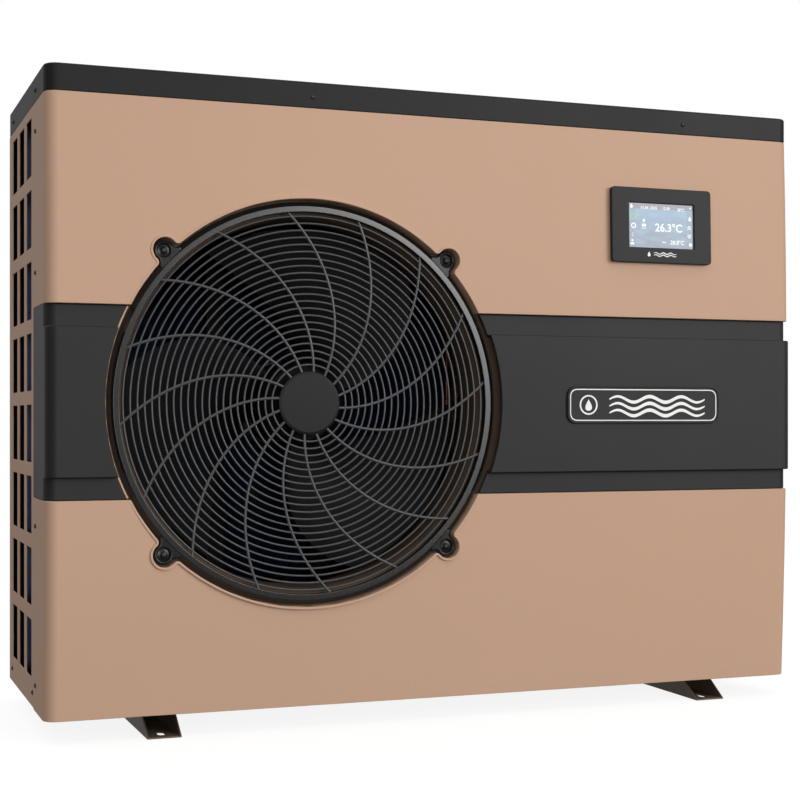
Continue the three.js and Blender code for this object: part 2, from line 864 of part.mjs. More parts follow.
function coil() {
  const left = 16;
  const back = caseDepth - 14;
  const right = partitionX - 14;
  const front = 40;
  const bend = 60;
  const q = Math.PI / 2;
  const inner = bend - coilThickness;
  const plan = [
    new THREE.Vector2(left, front),
    new THREE.Vector2(left + coilThickness, front),
    ...arc(left + bend, back - bend, inner, 2 * q, q, 4),
    new THREE.Vector2(right, back - coilThickness),
    new THREE.Vector2(right, back),
    ...arc(left + bend, back - bend, bend, q, 2 * q, 8),
  ];
  return upright(plan, panFloor + 3, innerTop - 6);
}
add(unit, "evaporator_coil", coil(), finBlue);

const headerX = partitionX - 7;
const headerY = caseDepth - 36;
add(
  unit,
  "coil_header",
  pipe(
    [
      [headerX, headerY, 90],
      [headerX, headerY, 300],
      [headerX, headerY, 560],
      [headerX, headerY, 780],
    ],
    5.5,
    6,
    12,
  ),
  copperMetal,
);

// ---- Compressor side ----------------------------------------------------------------------

const compressor = groupAt(unit, 838, 205, panFloor);
const grommetHeight = 20;
const grommetCircle = 86;
const grommetAngles = [0, 1, 2].map((k) => Math.PI / 2 + (k * 2 * Math.PI) / 3);

function compressorBody() {
  const r = 64;
  const bottom = 38;
  const top = 330;
  const shell = turned(
    [
      [0, bottom],
      [0.55 * r, bottom + 3],
      [0.88 * r, bottom + 12],
      [r, bottom + 30],
      [r, top - 34],
      [0.88 * r, top - 14],
      [0.55 * r, top - 3],
      [0, top],
    ],
    20,
    "z",
  );
  const plate = upright(
    grommetAngles.flatMap((a) =>
      arc(grommetCircle * Math.cos(a), grommetCircle * Math.sin(a), 16, a - 1, a + 1, 5),
    ),
    grommetHeight + 1,
    grommetHeight + 5,
  );
  const collar = alongZ(0.7 * r, grommetHeight + 2, bottom + 16, 24);
  const holes = grommetAngles.map((a) =>
    alongZ(8.4, 0, 60, 12).translate(
      grommetCircle * Math.cos(a),
      grommetCircle * Math.sin(a),
      0,
    ),
  );
  return build([shell, plate, collar], holes);
}
add(compressor, "compressor", compressorBody(), blackEnamel);

grommetAngles.forEach((a, k) => {
  const geometry = turned(
    [
      [3, gap],
      [15, gap],
      [15, grommetHeight],
      [7.4, grommetHeight],
      [7.4, grommetHeight + 9],
      [3, grommetHeight + 9],
    ],
    12,
    "z",
  );
  const at = [grommetCircle * Math.cos(a), grommetCircle * Math.sin(a), 0];
  add(compressor, `compressor_grommet_${k + 1}`, geometry, rubber, at);
});

const accumulatorX = -88;
const accumulatorY = -62;
const accumulator = build([
  alongZ(34, 90, 290, 18).translate(accumulatorX, accumulatorY, 0),
  alongZ(26, 80, 300, 12).translate(accumulatorX, accumulatorY, 0),
  pipe(
    [
      [accumulatorX, accumulatorY, 84],
      [accumulatorX, accumulatorY, 68],
      [-76, -53, 60],
      [-58, -40, 64],
    ],
    7,
    7,
    8,
  ),
]);
add(compressor, "suction_accumulator", accumulator, blackEnamel);

// Four-way valve above the compressor, with the pipes that meet it.
const valveZ = 500;
const valve = build([
  alongX(15, -60, 60, 16),
  alongX(9, -70, 70, 10),
  ...[-26, 0, 26].map((x) => alongZ(7, -34, 0, 8).translate(x, 0, 0)),
  alongZ(6, 0, 30, 8),
]);
add(compressor, "four_way_valve", valve, brassMetal, [0, 0, valveZ]);

const dischargePipe = pipe(
  [
    [0, 0, 332],
    [0, 0, 372],
    [-46, -44, 400],
    [-70, -48, 470],
    [-60, -34, 556],
    [-14, -6, 572],
    [0, 0, 552],
    [0, 0, 532],
  ],
  5,
  20,
  8,
);
add(compressor, "discharge_pipe", dischargePipe, copperMetal);

const suctionPipe = pipe(
  [
    [accumulatorX, accumulatorY, 302],
    [accumulatorX, accumulatorY, 340],
    [-70, -30, 386],
    [-24, 14, 398],
    [0, 8, 424],
    [0, 0, 464],
  ],
  6,
  16,
  8,
);
add(compressor, "suction_pipe", suctionPipe, copperMetal);

// Water heat exchanger: a plastic vessel round a titanium coil, with two threaded water stubs.
const exchangerX = 1010;
const exchanger = groupAt(unit, exchangerX, portY, 0);
const vessel = build([
  alongZ(66, panFloor + 20, panelFoot + 530, 28),
  alongZ(72, panFloor + gap, panFloor + 40, 28),
  alongZ(72, panelFoot + 520, panelFoot + 550, 28),
]);
add(exchanger, "exchanger_vessel", vessel, greyPlastic);

const stubEnd = caseWidth + 28;
function waterStub() {
  return turned(
    [
      [stubBore, 67],
      [stubRadius, 67],
      [stubRadius, stubEnd - exchangerX],
      [stubBore, stubEnd - exchangerX],
    ],
    24,
    "x",
  );
}
add(exchanger, "water_inlet_stub", waterStub(), blackPlastic, [0, 0, inletZ]);
add(exchanger, "water_outlet_stub", waterStub(), blackPlastic, [0, 0, outletZ]);

function unionNut() {
  const nutBack = 6;
  const nutFront = 39;
  const nutRadius = 41;
  return turned(
    [
      [stubRadius + 0.5, nutBack],
      [nutRadius, nutBack],
      [nutRadius, nutFront - 3],
      [nutRadius - 4, nutFront],
      [29.4, nutFront],
      [29.4, nutFront - 4.5],
      [stubRadius + 0.5, nutFront - 4.5],
    ],
    24,
    "x",
  );
}

function unionTail() {
  const start = stubEnd - caseWidth + gap;
  return turned(
    [
      [stubBore, start],
      [stubRadius, start],
      [stubRadius, start + 5],
      [28.8, start + 5],
      [28.8, tailEnd - caseWidth],
      [socketRadius, tailEnd - caseWidth],
      [socketRadius, start + 5],
      [stubBore, start + 5],
    ],
    24,
    "x",
  );
}
for (const [label, z] of [
  ["inlet", inletZ],
  ["outlet", outletZ],
]) {
  const port = groupAt(unit, caseWidth, portY, z);
  add(port, `${label}_union_nut`, unionNut(), blackPlastic);
  add(port, `${label}_union_tail`, unionTail(), greyPlastic);
}

// Refrigerant liquid line: vessel to expansion valve to coil.
const expansion = build([alongZ(11, -26, 26, 18), alongZ(17, 26, 62, 20)]);
add(unit, "expansion_valve", expansion, brassMetal, [770, 322, panelFoot + 330]);
const liquidPipe = pipe(
  [
    [937, 262, panelFoot + 252],
    [910, 288, panelFoot + 240],
    [840, 326, panelFoot + 236],
    [784, 328, panelFoot + 246],
    [770, 322, panelFoot + 280],
    [770, 322, panelFoot + 303],
  ],
  4.5,
  16,
  8,
);
add(unit, "liquid_pipe", liquidPipe, copperMetal);

// ---- Electrics ----------------------------------------------------------------------------

const eBox = { x0: 724, x1: 1108, y0: 34, y1: 150, z0: panelFoot + 590, z1: panelFoot + 806 };
const electricalBox = build(
  [block(eBox.x0, eBox.x1, eBox.y0, eBox.y1, eBox.z0, eBox.z1)],
  [
    block(
      eBox.x0 + sheet,
      eBox.x1 - sheet,
      eBox.y0 - 1,
      eBox.y1 - sheet,
      eBox.z0 + sheet,
      eBox.z1 - sheet,
    ),
  ],
);
add(unit, "electrical_box", electricalBox, zincSteel);

const board = build([
  block(-150, 150, 0, 1.6, -85, 85),
  block(-130, -70, -34, 0.5, -70, -10),
  ...[-40, -6, 28].map((x) => alongY(13, -38, 0.5, 16).translate(x, 0, 50)),
  block(10, 100, -26, 0.5, -70, -20),
  block(70, 120, -18, 0.5, 20, 70),
]);
add(unit, "control_board", board, boardGreen, [900, eBox.y1 - 14, panelFoot + 698]);
const terminals = build(
  [block(-24, 24, -20, 0, -40, 40)],
  [-30, -10, 10, 30].map((z) => block(-16, 16, -30, -8, z - 7, z + 7)),
);
add(unit, "terminal_block", terminals, blackPlastic, [1080, eBox.y1 - 4, panelFoot + 690]);

// Controller: bezel and touch screen on the bowed face, with a housing through the panel.
const bezelTilt = -(controllerZ - bowApexHeight) / bowRadius;
const controller = groupAt(unit, controllerX, frontFace(controllerZ), controllerZ);
controller.rotation.x = bezelTilt;
const screenWidth = 109;
const screenHeight = 66;
const bezelDepth = 7;
const bezel = build(
  [facing(roundedBox(bezelWidth, bezelHeight, 6), -bezelDepth - 0.8, -0.8)],
  [
    facing(roundedBox(screenWidth, screenHeight, 1), -20, 5),
    facing(roundedBox(screenWidth + 8, screenHeight + 8, 2), -3, 5),
  ],
);
add(controller, "controller_bezel", bezel, darkPlastic);
const displayPlate = facing(roundedBox(screenWidth + 7, screenHeight + 7, 2), -2.7, -0.9);
add(controller, "display_screen", displayPlate, screenGlass);
const housing = block(
  -housingWidth / 2,
  housingWidth / 2,
  -0.5,
  22,
  -housingHeight / 2,
  housingHeight / 2,
);
add(controller, "controller_housing", housing, blackPlastic);

// ---- Right side fittings ------------------------------------------------------------------

const gauge = groupAt(unit, sideX, gaugeY, gaugeZ);
const gaugeCase = turned(
  [
    [0, -12],
    [5, -12],
    [5, gap],
    [gaugeRadius, gap],
    [gaugeRadius, 14],
    [gaugeRadius - 3, 14],
    [gaugeRadius - 3, 5],
    [0, 5],
  ],
  24,
  "x",
);
add(gauge, "pressure_gauge", gaugeCase, blackPlastic);
const needle = build([
  alongX(3, 7, 9.2, 14),
  sideways(
    [
      new THREE.Vector2(-1.6, -8),
      new THREE.Vector2(1.6, -8),
      new THREE.Vector2(0.5, 22),
      new THREE.Vector2(-0.5, 22),
    ],
    7.4,
    8.4,
  ),
]);
const needleZero = 0.75 * Math.PI; // the needle rests at the dial's lower left
add(gauge, "gauge_needle", needle, whitePlastic).rotation.x = needleZero;
add(gauge, "gauge_lens", alongX(gaugeRadius - 3 - gap, 11, 13, 24), clearGlass);

const coverDepth = 24;
const wiringCover = build(
  [
    sideways(roundedBox(118, 168, 8), gap, coverDepth - 4),
    sideways(roundedBox(110, 160, 6), gap, coverDepth),
  ],
  [sideways(roundedBox(112, 162, 6), -1, coverDepth - 6)],
);
add(unit, "wiring_cover", wiringCover, blackPlastic, [sideX, 288, panelFoot + 704]);

function cableGland() {
  const bore = 6.5;
  return build([
    turned(
      [
        [bore, -12],
        [9.8, -12],
        [9.8, gap],
        [14, gap],
        [14, 8],
        [12.5, 8],
        [12.5, 20],
        [9, 25],
        [bore, 25],
      ],
      12,
      "x",
    ),
  ]);
}
glandYs.forEach((y, k) => {
  const name = ["power_cable_gland", "signal_cable_gland"][k];
  add(unit, name, cableGland(), blackPlastic, [sideX, y, glandZ]);
});

// ---- Origin at the centre of the footprint --------------------------------------------------

const frontmostY = proudFaceY - gap - 3;
unit.position.set(-tailEnd / 2, -(frontmostY + caseDepth) / 2, 0);

export default heatPump;
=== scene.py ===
"""The looks of an outdoor pool heat pump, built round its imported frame, in metres."""

import json
import math

import bmesh
import bpy
from mathutils import Matrix, Vector


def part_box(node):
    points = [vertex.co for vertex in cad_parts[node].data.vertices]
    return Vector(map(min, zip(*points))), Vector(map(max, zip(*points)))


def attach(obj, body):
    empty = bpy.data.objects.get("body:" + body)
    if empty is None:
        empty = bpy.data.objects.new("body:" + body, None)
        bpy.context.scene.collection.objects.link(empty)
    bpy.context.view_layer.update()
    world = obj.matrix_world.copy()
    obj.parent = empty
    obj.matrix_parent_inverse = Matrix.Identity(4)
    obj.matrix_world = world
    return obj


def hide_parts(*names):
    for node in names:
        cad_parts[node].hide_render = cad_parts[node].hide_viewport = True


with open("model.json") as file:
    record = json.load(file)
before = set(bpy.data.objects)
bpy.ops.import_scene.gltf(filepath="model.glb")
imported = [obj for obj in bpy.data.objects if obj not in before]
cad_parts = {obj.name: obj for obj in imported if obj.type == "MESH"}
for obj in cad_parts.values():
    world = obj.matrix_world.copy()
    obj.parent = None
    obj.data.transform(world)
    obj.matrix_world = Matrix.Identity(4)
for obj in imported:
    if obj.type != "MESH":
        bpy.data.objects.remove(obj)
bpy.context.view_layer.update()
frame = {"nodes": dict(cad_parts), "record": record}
nodes = frame["nodes"]

TAU = 2 * math.pi
CASING = "casing"
# Vertices this close are one, in a made mesh and in the frame's own.
WELD, FRAME_WELD = 2e-6, 1e-5

# Which way a flat piece faces: its own x, y and z axes in the unit's frame.
FRONT = Matrix(((1, 0, 0), (0, 0, -1), (0, 1, 0)))
RIGHT = Matrix(((0, 0, 1), (1, 0, 0), (0, 1, 0)))
LEFT = Matrix(((0, 0, -1), (-1, 0, 0), (0, 1, 0)))
BACK = Matrix(((-1, 0, 0), (0, 0, 1), (0, 1, 0)))
UP = Matrix(((1, 0, 0), (0, 1, 0), (0, 0, 1)))
ORIGIN = Vector((0, 0, 0))


def middle(node):
    low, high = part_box(node)
    return (low + high) / 2


guard_low, guard_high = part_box("fan_guard")
fan_axis = middle("fan_guard")
# The lid is as wide and as deep as the whole casing.
case_low, case_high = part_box("top_cover")


def on_fan_axis(y):
    """The point of the fan's axis at this depth."""
    return Vector((fan_axis.x, y, fan_axis.z))


def polar(radius, turn, x=0.0, y=0.0):
    """The point this far from (x, y), in the direction of `turn`."""
    return Vector((x + radius * math.cos(turn), y + radius * math.sin(turn)))


# ---- Nodes ----------------------------------------------------------------------------------


class Signal:
    """A node's output, usable in Python sums that add Math nodes."""

    def __init__(self, net, socket):
        self.net = net
        self.socket = socket

    def math(self, operation, *values):
        sockets = dict(enumerate(values))
        node = self.net.add("ShaderNodeMath", {"operation": operation}, sockets)
        return Signal(self.net, node.outputs[0])

    def __add__(self, other):
        return self.math("ADD", self, other)

    def __radd__(self, other):
        return self.math("ADD", other, self)

    def __sub__(self, other):
        return self.math("SUBTRACT", self, other)

    def __rsub__(self, other):
        return self.math("SUBTRACT", other, self)

    def __mul__(self, other):
        return self.math("MULTIPLY", self, other)

    def __rmul__(self, other):
        return self.math("MULTIPLY", other, self)

    def __truediv__(self, other):
        return self.math("DIVIDE", self, other)

    def __gt__(self, other):
        return self.math("GREATER_THAN", self, other)


class Net:
    """Adds nodes to a tree: a type, its settings, then the values or links of its sockets."""

    def __init__(self, tree):
        self.tree = tree

    def add(self, kind, settings=None, sockets=None):
        node = self.tree.nodes.new(kind)
        for key, value in (settings or {}).items():
            setattr(node, key, value)
        for key, value in (sockets or {}).items():
            if isinstance(value, Signal):
                value = value.socket
            if isinstance(value, bpy.types.Node):
                value = value.outputs[0]
            if isinstance(value, bpy.types.NodeSocket):
                self.tree.links.new(value, node.inputs[key])
            else:
                node.inputs[key].default_value = value
        return node

    def signal(self, kind, settings=None, sockets=None, output=0):
        return Signal(self, self.add(kind, settings, sockets).outputs[output])


def linear(red, green, blue):
    """A colour written as 8-bit display values, as the linear values a shader takes."""

    def one(value):
        share = value / 255
        return share / 12.92 if share <= 0.04045 else ((share + 0.055) / 1.055) ** 2.4

    return (one(red), one(green), one(blue))


def scaled(colour, factor):
    return tuple(min(channel * factor, 1) for channel in colour)


# ---- Finishes -------------------------------------------------------------------------------


class Finish:
    """A material's node tree, with its principled shader and patterns in object space."""

    def __init__(self, name):
        self.material = bpy.data.materials.new(name)
        self.material.use_nodes = True
        tree = self.material.node_tree
        tree.nodes.clear()
        self.net = Net(tree)
        self.shader = self.net.add("ShaderNodeBsdfPrincipled")
        self.net.add("ShaderNodeOutputMaterial", {}, {"Surface": self.shader})
        place = self.net.add("ShaderNodeTexCoord")
        self.place = place.outputs["Object"]

    def set(self, **values):
        for key, value in values.items():
            self.shader.inputs[key.replace("_", " ")].default_value = value

    def feed(self, key, value):
        socket = value.socket if isinstance(value, Signal) else value
        self.net.tree.links.new(socket, self.shader.inputs[key])

    def noise(self, scale, detail=2.0, stretch=(1, 1, 1)):
        where = self.place
        if stretch != (1, 1, 1):
            mapping = self.net.add("ShaderNodeMapping", {}, {"Vector": where, "Scale": stretch})
            where = mapping.outputs[0]
        sockets = {"Vector": where, "Scale": scale, "Detail": detail}
        return self.net.signal("ShaderNodeTexNoise", {}, sockets)

    def along(self, axis):
        split = self.net.add("ShaderNodeSeparateXYZ", {}, {"Vector": self.place})
        return Signal(self.net, split.outputs[axis])

    def ramp(self, value, low, high, to_low=0.0, to_high=1.0):
        sockets = {"Value": value, "From Min": low, "From Max": high}
        sockets |= {"To Min": to_low, "To Max": to_high}
        return self.net.signal("ShaderNodeMapRange", {}, sockets)

    def mix(self, factor, first, second):
        def four(colour):
            return (*colour, 1) if isinstance(colour, tuple) else colour

        sockets = {0: factor, 6: four(first), 7: four(second)}
        return self.net.signal("ShaderNodeMix", {"data_type": "RGBA"}, sockets, output=2)

    def bump(self, height, strength, distance):
        sockets = {"Height": height, "Strength": strength, "Distance": distance}
        return self.net.signal("ShaderNodeBump", {}, sockets)


def coated(
    name, rgb, roughness, metallic=0.0, peel=0.12, spread=0.06, coat=0.0, grain=900.0, gloss=0.5
):
    """Paint or moulded plastic: slight colour drift, uneven gloss and a fine surface grain."""
    made = Finish(name)
    colour = linear(*rgb)
    drift = made.noise(2.5, 2.0)
    fine = made.noise(420.0, 2.0)
    blend = made.ramp(drift * 0.6 + fine * 0.4, 0.3, 0.7)
    made.feed("Base Color", made.mix(blend, scaled(colour, 1 - spread), scaled(colour, 1 + spread)))
    patch = made.noise(7.0, 3.0)
    made.feed("Roughness", made.ramp(patch, 0.25, 0.75, roughness - 0.015, roughness + 0.02))
    made.feed("Normal", made.bump(made.noise(grain, 2.0), peel, 0.0004))
    made.set(Metallic=metallic, Coat_Weight=coat, Coat_Roughness=0.2, Specular_IOR_Level=gloss)
    return made.material


def bare_metal(name, rgb, roughness, brush=(1, 1, 30), spread=0.12):
    """Bare or plated metal with drawn streaks and dull patches."""
    made = Finish(name)
    colour = linear(*rgb)
    streak = made.noise(60.0, 4.0, brush)
    patch = made.noise(22.0, 3.0)
    blend = made.ramp(streak * 0.5 + patch * 0.5, 0.3, 0.7)
    made.feed("Base Color", made.mix(blend, scaled(colour, 1 - spread), scaled(colour, 1 + spread)))
    made.feed("Roughness", made.ramp(patch, 0.3, 0.7, roughness - 0.08, roughness + 0.12))
    made.feed("Normal", made.bump(streak, 0.15, 0.0003))
    made.set(Metallic=1.0)
    return made.material


copper_paint = coated(
    "copper_paint", (191, 156, 132), 0.55, 0.04, 0.1, 0.02, 0.02, 1400.0, gloss=0.15
)
band_plastic = coated("band_plastic", (34, 34, 35), 0.5, 0, 0.12, 0.05, gloss=0.24)
lid_paint = coated("lid_paint", (25, 25, 26), 0.5, 0, 0.14, 0.05, gloss=0.2)
guard_plastic = coated("guard_plastic", (22, 22, 23), 0.3, 0, 0.08, 0.06, gloss=0.3)
band_plastic_face = coated("band_plastic_face", (20, 20, 21), 0.24, 0, 0.05, 0.05, gloss=0.7)
hub_plastic = coated("hub_plastic", (21, 21, 22), 0.5, 0, 0.1, 0.05, gloss=0.24)
# The wires are a lighter grey than the rest of the black guard: a painted highlight for the light
# their round faces catch.
wire_plastic_painted_highlight = coated("wire_plastic_painted_highlight", (62, 62, 63), 0.34, 0, 0.08, 0.06)
fan_plastic = coated("fan_plastic", (11, 12, 15), 0.5, 0, 0.12, 0.1, gloss=0.08)
black_plastic = coated("black_plastic", (24, 24, 25), 0.45, 0, 0.12, 0.08)
bezel_plastic = coated("bezel_plastic", (42, 42, 42), 0.45, 0, 0.06, 0.04, gloss=0.14)
grey_plastic = coated("grey_plastic", (128, 131, 134), 0.45, 0, 0.12, 0.05)
white_plastic = coated("white_plastic", (232, 232, 228), 0.4, 0, 0.06, 0.02)
brown_paint = coated("brown_paint", (96, 80, 66), 0.45, 0.1, 0.2, 0.1)
# A darkened copper brown: painted shade for the copper throat and rim that lie in shadow behind the
# guard and band.
painted_shade_throat = coated("throat_painted_shade", (88, 73, 61), 0.6, 0, 0.1, 0.05, gloss=0.15)
black_enamel = coated("black_enamel", (26, 26, 28), 0.3, 0.1, 0.2, 0.1, 0.3)
rubber = coated("rubber", (28, 28, 28), 0.85, 0, 0.3, 0.15)
# A dark blue-black for the coil's core sheet: painted shade for the shadowed depth of the fin pack.
coil_core_painted_shade = coated("coil_core_painted_shade", (16, 21, 32), 0.7, 0, 0.1, 0.1, gloss=0.1)
needle_red = coated("needle_red", (176, 30, 26), 0.4)
ink_white = coated("ink_white", (236, 236, 234), 0.5, 0, 0.03, 0.01)
zinc_steel = bare_metal("zinc_steel", (188, 190, 192), 0.34)
dark_steel = bare_metal("dark_steel", (70, 70, 72), 0.38)
copper_pipe = bare_metal("copper_pipe", (198, 128, 90), 0.3, (8, 8, 1), 0.2)
brass = bare_metal("brass", (196, 164, 96), 0.3)


def fin_finish():
    """Blue coated aluminium fins, with darker streaks and a little dust."""
    made = Finish("coil_fins")
    streak = made.noise(30.0, 4.0, (6, 6, 1))
    dust = made.ramp(made.noise(9.0, 4.0), 0.45, 0.8)
    blue = made.mix(streak, linear(20, 32, 60), linear(50, 70, 112))
    made.feed("Base Color", made.mix(dust * 0.35, blue, linear(112, 112, 110)))
    made.feed("Roughness", made.ramp(streak, 0.2, 0.8, 0.35, 0.6))
    made.feed("Normal", made.bump(streak, 0.2, 0.0005))
    made.set(Metallic=0.6)
    return made.material


def board_finish():
    """Green circuit board with tracks under the mask."""
    made = Finish("circuit_board")
    track = made.noise(260.0, 1.0, (1, 1, 5))
    line = made.ramp(track, 0.48, 0.52)
    made.feed("Base Color", made.mix(line, linear(14, 78, 48), linear(30, 112, 70)))
    made.feed("Roughness", made.ramp(track, 0.3, 0.7, 0.3, 0.45))
    made.feed("Normal", made.bump(line, 0.2, 0.0001))
    return made.material


def lens_finish():
    """Clear moulded plastic, with a few duller patches."""
    made = Finish("clear_lens")
    patch = made.noise(40.0, 2.0)
    made.feed("Roughness", made.ramp(patch, 0.3, 0.7, 0.02, 0.06))
    made.set(Base_Color=(0.95, 0.97, 0.98, 1), Alpha=0.16, IOR=1.49)
    return made.material


coil_fins = fin_finish()
circuit_board = board_finish()
clear_lens = lens_finish()


# ---- Making meshes --------------------------------------------------------------------------


def soften(mesh, degrees):
    """Smooth shading, broken at edges sharper than this."""
    mesh.shade_smooth()
    mesh.set_sharp_from_angle(angle=math.radians(degrees))
    return mesh


def written(shape, mesh=None):
    """The mesh of a bmesh shape, which is freed."""
    mesh = mesh or bpy.data.meshes.new("shape")
    shape.to_mesh(mesh)
    shape.free()
    return mesh


def closed(mesh):
    """Merges doubled vertices and turns the faces outwards."""
    shape = bmesh.new()
    shape.from_mesh(mesh)
    bmesh.ops.remove_doubles(shape, verts=shape.verts, dist=WELD)
    bmesh.ops.recalc_face_normals(shape, faces=shape.faces)
    return written(shape, mesh)


def set_in(mesh, place, facing=FRONT, turn=0.0):
    """The mesh turned about its own z axis, then facing the given way at a place."""
    mesh.transform(Matrix.Rotation(turn, 4, "Z"))
    mesh.transform(Matrix.Translation(place) @ facing.to_4x4())
    return mesh


def settled(obj):
    """The finished mesh of an object, with its place applied. The object is removed."""
    bpy.context.view_layer.update()
    graph = bpy.context.evaluated_depsgraph_get()
    mesh = bpy.data.meshes.new_from_object(obj.evaluated_get(graph), depsgraph=graph)
    mesh.transform(obj.matrix_world)
    bpy.data.objects.remove(obj)
    return mesh


def linked(name, data):
    obj = bpy.data.objects.new(name, data)
    bpy.context.scene.collection.objects.link(obj)
    return obj


def piece(name, mesh, finish, body=CASING, replaces=(), degrees=35, even=True):
    """A finished piece that rides on a body and may stand for nodes of the frame.

    `even` keeps broad flat faces evenly shaded up to their eased edges.
    """
    if finish is not None:
        mesh.materials.clear()
        mesh.materials.append(finish)
    soften(mesh, degrees)
    if even:
        mesh = modified(mesh, ("WEIGHTED_NORMAL", {"keep_sharp": True, "weight": 60}))
    obj = linked(name, mesh)
    mesh.name = name
    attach(obj, body)
    if replaces:
        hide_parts(*replaces)
    return obj


def joined(meshes):
    """Several meshes as one, keeping each one's material."""
    whole = bmesh.new()
    finishes = []
    for mesh in meshes:
        start = len(whole.faces)
        whole.from_mesh(mesh)
        whole.faces.ensure_lookup_table()
        material = mesh.materials[0] if mesh.materials else None
        if material not in finishes:
            finishes.append(material)
        for face in whole.faces[start:]:
            face.material_index = finishes.index(material)
    made = written(whole)
    for material in finishes:
        made.materials.append(material)
    return made


def filleted(points, radius, steps=4, is_closed=True):
    """The points' outline with each corner eased to about this radius."""
    result = []
    count = len(points)
    for index, corner in enumerate(points):
        corner = Vector(corner)
        if not is_closed and index in (0, count - 1):
            result.append(corner)
            continue
        before = Vector(points[index - 1]) - corner
        after = Vector(points[(index + 1) % count]) - corner
        angle = before.angle(after)
        if angle > 3.05:
            result.append(corner)
            continue
        limit = 0.48 * min(before.length, after.length)
        reach = min(radius / math.tan(angle / 2), limit)
        start = corner + before.normalized() * reach
        end = corner + after.normalized() * reach
        for step in range(steps + 1):
            t = step / steps
            blend = start * (1 - t) ** 2 + corner * (2 * t * (1 - t)) + end * t**2
            result.append(blend)
    return result


def rectangle(width, height, radius=0.0, steps=6, x=0.0, y=0.0):
    """An upright rectangle round (x, y), with corners of this radius."""
    half_w, half_h = width / 2, height / 2
    ways = ((-1, -1), (1, -1), (1, 1), (-1, 1))
    corners = [(x + way_x * half_w, y + way_y * half_h) for way_x, way_y in ways]
    return filleted(corners, radius, steps) if radius else [Vector(c) for c in corners]


def circle(radius, steps=48, x=0.0, y=0.0):
    return [polar(radius, TAU * k / steps, x, y) for k in range(steps)]


def plate(outlines, thickness, place, facing=FRONT, ease=0.0, holes=(), ease_steps=2, tilt=0.0):
    """A plate with eased edges. Its back lies at `place` and it faces the given way."""
    curve = bpy.data.curves.new("plate", "CURVE")
    curve.dimensions = "2D"
    curve.fill_mode = "BOTH"
    for points, turned_round in [(o, False) for o in outlines] + [(h, True) for h in holes]:
        spline = curve.splines.new("POLY")
        spline.points.add(len(points) - 1)
        ordered = list(reversed(points)) if turned_round else points
        for target, point in zip(spline.points, ordered):
            target.co = (point[0], point[1], 0, 1)
        spline.use_cyclic_u = True
    curve.extrude = thickness / 2 - ease
    curve.bevel_depth = ease
    curve.offset = -ease
    curve.bevel_resolution = ease_steps
    obj = linked("plate", curve)
    turn = facing.to_4x4() @ Matrix.Rotation(tilt, 4, "X")
    lift = Matrix.Translation((0, 0, thickness / 2))
    obj.matrix_world = Matrix.Translation(place) @ turn @ lift
    mesh = settled(obj)
    bpy.data.curves.remove(curve)
    return closed(mesh)


def lettering(text, height, place, facing=FRONT, tilt=0.0):
    """Numbers or a unit sign, centred on `place`."""
    curve = bpy.data.curves.new("lettering", "FONT")
    curve.body = text
    curve.size = height * 1.4
    curve.align_x = "CENTER"
    curve.align_y = "CENTER"
    curve.extrude = 0.0001
    curve.offset = height * 0.024
    obj = linked("lettering", curve)
    turn = facing.to_4x4() @ Matrix.Rotation(tilt, 4, "X")
    obj.matrix_world = Matrix.Translation(place) @ turn
    mesh = settled(obj)
    bpy.data.curves.remove(curve)
    return closed(mesh)


def turned(profile, place, facing=FRONT, steps=96, ease=0.0, ease_steps=3):
    """A turned solid from (radius, height) pairs, about an axis through `place`.

    The height grows the way the piece faces. The profile starts and ends on the axis, or else
    closes on itself.
    """
    on_axis = profile[0][0] == 0 and profile[-1][0] == 0
    if ease:
        profile = filleted(profile, ease, ease_steps, is_closed=not on_axis)
    shape = bmesh.new()
    rows = []
    for radius, height in profile:
        around = circle(radius, steps) if radius > 1e-7 else [(0, 0)]
        rows.append([shape.verts.new((x, y, height)) for x, y in around])
    pairs = list(zip(rows, rows[1:]))
    if not on_axis:
        pairs.append((rows[-1], rows[0]))
    for low, high in pairs:
        for k in range(steps):
            after = (k + 1) % steps
            if len(low) == 1 and len(high) == 1:
                continue
            if len(low) == 1:
                shape.faces.new((low[0], high[k], high[after]))
            elif len(high) == 1:
                shape.faces.new((low[k], low[after], high[0]))
            else:
                shape.faces.new((low[k], low[after], high[after], high[k]))
    bmesh.ops.recalc_face_normals(shape, faces=shape.faces)
    return set_in(written(shape), place, facing)


def from_grid(rows, wrap=False):
    """A sheet of quads through rows of points."""
    shape = bmesh.new()
    grid = [[shape.verts.new(p) for p in row] for row in rows]
    for low, high in zip(grid, grid[1:]):
        count = len(low)
        for k in range(count if wrap else count - 1):
            after = (k + 1) % count
            shape.faces.new((low[k], low[after], high[after], high[k]))
    return written(shape)


def modified(mesh, *modifiers):
    """The mesh after these modifiers, each a type and its settings."""
    obj = linked("modified", mesh)
    for kind, settings in modifiers:
        modifier = obj.modifiers.new(kind, kind)
        for key, value in settings.items():
            setattr(modifier, key, value)
    return settled(obj)


def bevel(width, segments):
    """Eased edges, as a modifier's type and settings."""
    settings = {
        "width": width,
        "segments": segments,
        "limit_method": "ANGLE",
        "angle_limit": math.radians(40),
        "use_clamp_overlap": False,
        "miter_outer": "MITER_ARC",
    }
    return ("BEVEL", settings)


def frame_mesh(node):
    """A merged copy of a node's mesh, with its flat faces made whole."""
    mesh = nodes[node].data.copy()
    shape = bmesh.new()
    shape.from_mesh(mesh)
    bmesh.ops.remove_doubles(shape, verts=shape.verts, dist=FRAME_WELD)
    limit = math.radians(0.12)
    bmesh.ops.dissolve_limit(shape, angle_limit=limit, verts=shape.verts, edges=shape.edges)
    return written(shape, mesh)


def eased_node(node, finish, width, segments=2):
    """A node's own shape with its sharp edges eased."""
    mesh = modified(frame_mesh(node), bevel(width, segments))
    piece(f"{node}_eased", mesh, finish, replaces=[node])


